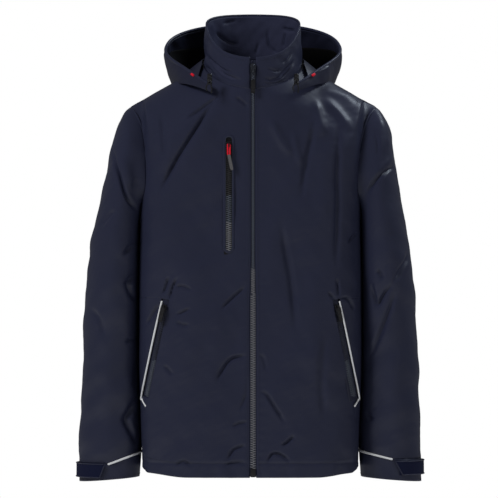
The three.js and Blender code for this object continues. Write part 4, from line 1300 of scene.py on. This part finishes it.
def slider_piece(name, where, width, length, top, floor, look, body, replaced):
    """A slider: a waisted shield-shaped body with flanges, and a lengthwise bridge."""
    mesh = bmesh.new()
    half, middle, roof = width / 2, top - length / 2, floor + SLIDER_PLATE
    corner = lambda x, y, z: mesh.verts.new(tuple(place(where([x, y, z]))))
    bottom = [corner(x * half, floor, top + y * length) for x, y in SLIDER_OUTLINE]
    lid = [corner(x * half * 0.86, roof, middle + (y + 0.5) * length * 0.9) for x, y in SLIDER_OUTLINE]
    mesh.faces.new(bottom)
    mesh.faces.new(lid[::-1])
    for i in range(len(SLIDER_OUTLINE)):
        k = (i + 1) % len(SLIDER_OUTLINE)
        mesh.faces.new([bottom[k], bottom[i], lid[i], lid[k]])
    bmesh.ops.recalc_face_normals(mesh, faces=mesh.faces)
    data = bpy.data.meshes.new(name)
    mesh.to_mesh(data)
    mesh.free()
    reach = 0.36 * length
    roof = roof + BRIDGE_SPACE + 0.6
    arch = curve([(0, floor + 2, middle - reach), (0, roof - 0.8, middle - 0.9 * reach),
                  (0, roof, middle - 0.5 * reach), (0, roof, middle + 0.5 * reach),
                  (0, roof - 0.8, middle + 0.9 * reach), (0, floor + 2, middle + reach)], 30)
    vertices, faces = tube(arch, 1.25, flatten=0.55,
                           normals=unit(np.cross(np.tile([1.0, 0, 0], (30, 1)), np.gradient(arch, axis=0))))
    heap = Heap()
    heap.add(where(vertices), faces)
    bridge = heap.piece(f"{name}_bridge")
    settle(bevelled(linked(name, data), 0.4), look, body, replaced)
    settle(bridge, look, body)


def puller_piece(name, where, width, length, wire, pivot, level, material, body, replaced):
    """A wire loop that hangs from its crossbar."""
    half = width / 2 - wire / 2
    outline = [(-half, pivot), (half, pivot), (half, pivot - length + 3), (half - 1.2, pivot - length + 0.8),
               (-half + 1.2, pivot - length + 0.8), (-half, pivot - length + 3)]
    points = []
    for k, (x, z) in enumerate(outline):
        x2, z2 = outline[(k + 1) % len(outline)]
        for f in np.linspace(0, 1, 8, endpoint=False):
            points.append((lerp(x, x2, f), level, lerp(z, z2, f)))
    points = np.array(points)
    previous, following = np.roll(points, 1, axis=0), np.roll(points, -1, axis=0)
    points = (previous + 2 * points + following) / 4
    tangents = unit(np.roll(points, -1, axis=0) - np.roll(points, 1, axis=0))
    normals = np.tile([0.0, 1.0, 0.0], (len(points), 1))
    ring = rings(normals, np.cross(tangents, normals), 10)
    vertices = (points[:, None] + ring * wire / 2).reshape(-1, 3)
    faces = grid_faces(len(points), 10, closed=True).tolist()
    last = (len(points) - 1) * 10
    faces += [[last + i, last + (i + 1) % 10, (i + 1) % 10, i] for i in range(10)]
    piece = mesh_object(name, place(where(vertices)), faces)
    return settle(piece, material, body, replaced)


def tab_piece(name, where, width, top, length, level, material, body, replaced, thickness=1.8, lean=0):
    """A moulded finger tab with rounded corners and grip ribs."""
    rows = 26
    z = np.linspace(0, 1, rows)[:, None]
    x = np.linspace(-1, 1, 13)[None]
    end = np.minimum(z, 1 - z) * length
    half = width / 2 * np.sqrt(np.clip(1 - np.clip(1 - end / 2.2, 0, 1) ** 2, 0.04, 1))
    ribs = 0.25 * np.sin(2 * np.pi * z * length / 2.6) * smooth(0.2, 0.35, z) * smooth(0.95, 0.8, z)
    across = x * half * (1 - abs(lean)) - lean * z * length
    grid = stack(across, level + thickness / 2 + ribs * smooth(1, 0.7, np.abs(x)), top - z * length)
    grid = where(grid)
    piece = cloth_piece(name, grid, outward=-1, thickness=thickness)
    bevelled(piece, 0.3)
    return settle(piece, material, body, replaced)


def slider_set(prefix, where, width, length, top, floor, look, puller, bodies):
    """A slider and what hangs from it: a wire with a tail, or one moulded tab."""
    slider_body, puller_body = bodies
    kind, puller_length, wire, puller_look, tail = puller
    slider_piece(f"{prefix}_slider_body", where, width, length, top, floor, look, slider_body, [f"{prefix}_slider"])
    pivot = top - length / 2
    level = floor + SLIDER_PLATE + BRIDGE_SPACE / 2
    puller_width = min(width - 1, 8)
    if kind == "tab":
        tab_piece(f"{prefix}_tab", where, 8.0, pivot + 1.5, puller_length, level - 0.4, puller_look, puller_body,
                  [f"{prefix}_puller"], thickness=2.2)
        return
    puller_piece(f"{prefix}_wire", where, puller_width, puller_length, wire, pivot, level, puller_look,
                 puller_body, [f"{prefix}_puller"])
    if tail:
        tail_look, lean = (GREY_TAIL, 0.2) if puller_look == RED else (PLASTIC, 0)
        tab_piece(f"{prefix}_tail", where, puller_width, pivot - puller_length + 2.2, tail, level, tail_look,
                  puller_body, [f"{prefix}_pull_tail"], lean=lean)


def make_main_zip():
    where = basis((0, HEM_FRONT, 0), (0, ZIP_LEAN, 1), (0, -1, 0))
    for name, side in (("right", 1), ("left", -1)):
        edges = sorted([side * 0.4, side * 9.5])
        zip_strip(f"main_tape_{name}", where, (edges[0], 2), (edges[1], MAIN_ZIP_TOP), -1.2, TAPE,
                  f"main_zip_tape_{name}", rows=200)
    # The coil below 372 mm is in the painted-reflection copy, above it in plain grey.
    for part, low, high, half, level, look in (
            ("", 17, 325, 4.3, (-1.3, 0.4), COIL_PAINTED_REFLECTION), ("middle_", 326, 372, 3.3, (-1.1, 0.6), COIL_PAINTED_REFLECTION),
            ("upper_", 373, MAIN_ZIP_TOP - 8, 2.3, (-0.9, 0.9), COIL)):
        coil_piece(f"main_coil_{part}teeth", where, low, high, half, level, 4.2, 0.72, look,
                   [] if part else ["main_zip_coil"])
    vertices, faces = box_shape((-4.4, -2.4, 1), (4.4, 2.0, 16.4))
    box = mesh_object("bottom_box", place(where(vertices)), faces)
    bevelled(box, 1.0, 3)
    settle(box, PLASTIC, "jacket", ["main_zip_bottom_box"])
    zip_strip("storm_flap_cloth", where, (-17, 6), (17, MAIN_ZIP_TOP - 8), -8.3, NAVY, "storm_flap", rows=60)
    slider_set("main_zip", where, 11, 19, MAIN_SLIDER_TOP, 1.4, METAL, ("wire", 22, 1.8, METAL, 25),
               ("main_slider", "main_puller"))


def pocket_zip(prefix, where, length, tape_half, coil_half, tape_look, coils, slider_look, puller, bodies,
               straight=None, floor=1.7):
    zip_strip(f"{prefix}_tape_cloth", where, (-tape_half, -5), (tape_half, length + 5), -0.7, tape_look,
              f"{prefix}_tape")
    for count, (low, high, look) in enumerate(coils):
        coil_piece(f"{prefix}_teeth_{count}", where, low, high, coil_half, (-0.6, 1.0), 3.4, 0.62, look,
                   [f"{prefix}_coil"] if count == 0 else [])
    slider_set(prefix, straight or where, 8, 13, length - 5, floor, slider_look, puller, bodies)


def add_welt(name, where, length, slot_half):
    """The rolled lip round a zip's slot, with rounded ends."""
    turn = np.linspace(0, np.pi, 24)
    right = np.linspace(slot_half, length - slot_half, 90)
    x = np.concatenate([np.full(90, slot_half), slot_half * np.cos(turn), np.full(90, -slot_half),
                        -slot_half * np.cos(turn)])
    z = np.concatenate([right, length - slot_half + slot_half * np.sin(turn), right[::-1],
                        slot_half - slot_half * np.sin(turn)])
    x_out, z_out = x / slot_half, np.concatenate([np.zeros(90), np.sin(turn), np.zeros(90), -np.sin(turn)])
    rows = []
    for reach, level in ((-0.9, -1.6), (-0.9, 0.6), (-0.2, 1.3), (1.0, 1.4), (2.4, 0.9), (3.4, 0.1), (3.4, -0.8)):
        rows.append(stack(x + reach * x_out, np.full(len(x), level), z + reach * z_out))
    grid = where(np.array(rows))
    piece = mesh_object(name, place(grid.reshape(-1, 3)), grid_faces(len(rows), len(x), closed=True))
    settle(piece, NAVY, "jacket")
    line = where(stack(x - 0.9 * x_out, np.full(len(x), 0.9), z - 0.9 * z_out))
    # A thin cord in the lighter navy-grey round the slot's lip: a painted highlight.
    cord_piece(f"{name}_edge", np.concatenate([line, line[:2]]), 0.6, WELT_PAINTED_HIGHLIGHT, "jacket", sides=6)


def make_chest_zip():
    origin = (CHEST_ZIP_X, front_y(CHEST_ZIP_BOTTOM) + 0.4, CHEST_ZIP_BOTTOM + 0.5)
    where = basis(origin, (0, ZIP_LEAN, 1), (0, -1, 0))
    length = CHEST_ZIP_TOP - CHEST_ZIP_BOTTOM - 1.5
    pocket_zip("chest_zip", where, length, 8.5, 4.6, BLACK_TAPE,
               # The coil is a painted reflection at its foot, plain grey in the middle and painted shade at the top
               # under the welt.
               [(2, 52, COIL_PAINTED_REFLECTION), (52, 100, COIL), (100, length - 6, COIL_PAINTED_SHADE)], PLASTIC,
               ("wire", 20, 3.0, RED, 28), ("chest_slider", "chest_puller"))
    add_welt("chest_zip_welt", where, length + 4, CHEST_SLOT_HALF_WIDTH)


# The sliders are straight and the swayed cloth isn't, so each has its own height above the tape.
HAND_SLIDER_FLOOR = {"right": 1.9, "left": 1.5}


def make_hand_zip(name, side):
    low, high = beside_piping(1, -POCKET_ZIP_INSET), beside_piping(0, -POCKET_ZIP_INSET)
    bottom, top = front_point(side * low[0], low[1]), front_point(side * high[0], high[1])
    normal = unit(front_normal(side * high[0], high[1]) + front_normal(side * low[0], low[1]) * 0.4)
    up = top - bottom
    length = float(np.linalg.norm(up))
    straight = basis(bottom + 1.5 * normal, up, normal)
    along = (high - low) / length
    across = unit(np.array([along[1], -along[0]]))
    mirrored = 1 if basis((0, 0, 0), up, normal)([1, 0, 0])[0] * side > 0 else -1

    def on_cloth(points):
        points = np.asarray(points, float)
        flat = low + points[..., 2:] * along + points[..., :1] * mirrored * across
        x, z = side * flat[..., 0], flat[..., 1]
        return front_point(x, z) + front_normal(x, z) * (points[..., 1:2] - 1.0)

    pocket_zip(f"hand_zip_{name}", on_cloth, length, 8.5, 3.6, TAPE,
               # The coil is plain grey for its first 70 mm and painted shade, in navy, above.
               [(4, 70, COIL), (70, length - 6, NAVY_COIL_PAINTED_SHADE)], PLASTIC,
               ("tab", 27, 0, PLASTIC, 0), (f"{name}_hand_slider", f"{name}_hand_puller"), straight,
               floor=HAND_SLIDER_FLOOR[name])
    route = [(PIPING_TOP[0] + 0.5, PIPING_TOP[1] - 1), beside_piping(0.3, 1), beside_piping(0.65, 1),
             (PIPING_BOTTOM[0], PIPING_BOTTOM[1] + 2), (PIPING_BOTTOM[0] - 1.5, PIPING_BOTTOM[1] - 5), (185, 125)]
    flat = curve(route, 90)
    points = front_point(side * flat[:, 0], flat[:, 1])
    points = points + front_normal(side * flat[:, 0], flat[:, 1]) * 1.2
    cord_piece(f"pocket_piping_{name}", points, 1.65, PIPING, "jacket", [f"hand_pocket_piping_{name}"])


# ---------- cord locks ----------

def lathe(profile, axis_point, segments=28):
    """A turned shape about the vertical through axis_point, from (radius, height) pairs."""
    profile = np.asarray(profile, float)
    turn = np.linspace(0, 2 * np.pi, segments, endpoint=False)
    x = profile[:, :1] * np.cos(turn)
    y = profile[:, :1] * np.sin(turn)
    z = profile[:, 1:] + 0 * turn
    vertices = (stack(x, y, z) + np.asarray(axis_point, float)).reshape(-1, 3)
    faces = grid_faces(len(profile), segments, closed=True).tolist()
    last = (len(profile) - 1) * segments
    faces.append(list(range(segments))[::-1])
    faces.append([last + i for i in range(segments)])
    return vertices, faces


def upright_cylinder(node):
    """Where the node's box has its lowest middle point, how high it is and its radius."""
    low, high = np.array(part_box(node)) * 1000
    height, radius = high[2] - low[2], (high[0] - low[0]) / 2
    return (low + high) / 2 - np.array([0, 0, HEM]) - np.array([0, 0, height / 2]), height, radius


def make_cord_locks():
    for name, side in SIDES:
        base, height, radius = upright_cylinder(f"hood_cord_lock_{name}")
        barrel = [(0.5 * radius, 0), (0.85 * radius, 0.3), (radius, 1.2), (radius, 0.30 * height),
                  (0.88 * radius, 0.33 * height), (0.88 * radius, 0.42 * height), (radius, 0.45 * height),
                  (radius, height - 1.2), (0.85 * radius, height - 0.3), (0.62 * radius, height)]
        heap = Heap()
        heap.add(*lathe(barrel, base))
        for turn, reach in ((0.4, 15), (-0.7, 11)):
            loop = curve([(1.5 * turn, -radius - 0.5, 0.4 * height), (4 * turn, -radius - 2.2, 0.15 * height),
                          (9 * turn, -radius - 1.6, -0.5 * reach), (7 * turn, -radius - 1.4, -reach)], 24)
            heap.add(*tube(loop + base, 1.15))
        settle(heap.piece(f"cord_lock_{name}"), PLASTIC, "hood", [f"hood_cord_lock_{name}"])
        base, height, radius = upright_cylinder(f"hood_lock_button_{name}")
        button = [(0.8 * radius, 0), (radius, 0.3), (radius, height - 1.6), (0.9 * radius, height - 0.6),
                  (0.6 * radius, height - 0.1), (0.2 * radius, height)]
        heap = Heap()
        heap.add(*lathe(button, base))
        settle(heap.piece(f"lock_button_{name}"), PLASTIC, f"{name}_lock_button", [f"hood_lock_button_{name}"])
        spot = np.array([side * 108, -58, 716.0])
        along = unit(np.array([side * 27.0, 28, 19]))
        bartack = np.array([spot + along * step for step in (-3, -1, 1, 3)])
        cord_piece(f"hood_bartack_{name}", bartack, 2.4, RED, "hood")


# ---------- stage ----------

def make_stage():
    floor = mesh_object("floor", [(-4, -4, -1.3), (4, -4, -1.3), (4, 4, -1.3), (-4, 4, -1.3)], [(0, 1, 2, 3)])
    material, nodes, links = node_material("pale_floor")
    shader = nodes["Principled BSDF"]
    shader.inputs["Base Color"].default_value = (0.86, 0.86, 0.86, 1)
    shader.inputs["Roughness"].default_value = 0.8
    shader.inputs["Emission Color"].default_value = (1, 1, 1, 1)
    shader.inputs["Emission Strength"].default_value = 0.12
    floor.data.materials.append(material)

    world = bpy.data.worlds.new("studio")
    bpy.context.scene.world = world
    world.use_nodes = True
    nodes, links = world.node_tree.nodes, world.node_tree.links
    background = nodes["Background"]
    background.inputs["Color"].default_value = (1, 1, 1, 1)
    background.inputs["Strength"].default_value = 0.12
    seen = nodes.new("ShaderNodeBackground")
    seen.inputs["Color"].default_value = (1, 1, 1, 1)
    seen.inputs["Strength"].default_value = 1.0
    path = nodes.new("ShaderNodeLightPath")
    mix = nodes.new("ShaderNodeMixShader")
    links.new(path.outputs["Is Camera Ray"], mix.inputs["Fac"])
    links.new(background.outputs["Background"], mix.inputs[1])
    links.new(seen.outputs["Background"], mix.inputs[2])
    links.new(mix.outputs["Shader"], nodes["World Output"].inputs["Surface"])

    add_light("key", (-3.0, -2.1, 2.7), (-0.05, 0, -0.25), 1.3, 128)
    add_light("fill", (3.0, -2.9, 0.6), (0.05, 0, -0.35), 2.0, 30)
    add_light("rim", (1.1, 0.35, 1.1), (0.15, 0, -0.02), 0.42, 11.5, (0.78, 0.88, 1.0), glossy=True)


def add_light(name, position, target, size, watts, color=(1, 1, 1), glossy=False):
    data = bpy.data.lights.new(name, "AREA")
    data.shape = "SQUARE"
    data.size = size
    data.energy = watts
    data.color = color
    light = linked(name, data)
    light.visible_glossy = glossy
    aim(light, position, target)


def aim(thing, position, target):
    direction = unit(np.asarray(target, float) - np.asarray(position, float))
    thing.location = position
    thing.rotation_euler = Vector(direction).to_track_quat("-Z", "Y").to_euler()


VIEW_HEIGHT = 0.8964
VIEW_CENTRE = (-0.0072, 0.0, -0.295)
CAMERA_DISTANCE = 7.0
SENSOR_WIDTH = 36


def make_camera():
    data = bpy.data.cameras.new("camera")
    data.sensor_fit = "HORIZONTAL"
    data.sensor_width = SENSOR_WIDTH
    data.lens = SENSOR_WIDTH * CAMERA_DISTANCE / VIEW_HEIGHT
    data.clip_end = 50
    camera = linked("camera", data)
    x, y, z = VIEW_CENTRE
    aim(camera, (x, y - CAMERA_DISTANCE, z), (x, y, z))
    bpy.context.scene.camera = camera
    bpy.context.scene.view_settings.view_transform = "Standard"


# ---------- the jacket ----------

make_camera()
make_stage()
make_body()
make_linings()
make_collar()
for name, side in SIDES:
    make_sleeve(name, side)
make_hood()
make_main_zip()
make_chest_zip()
for name, side in SIDES:
    make_hand_zip(name, side)
make_cord_locks()
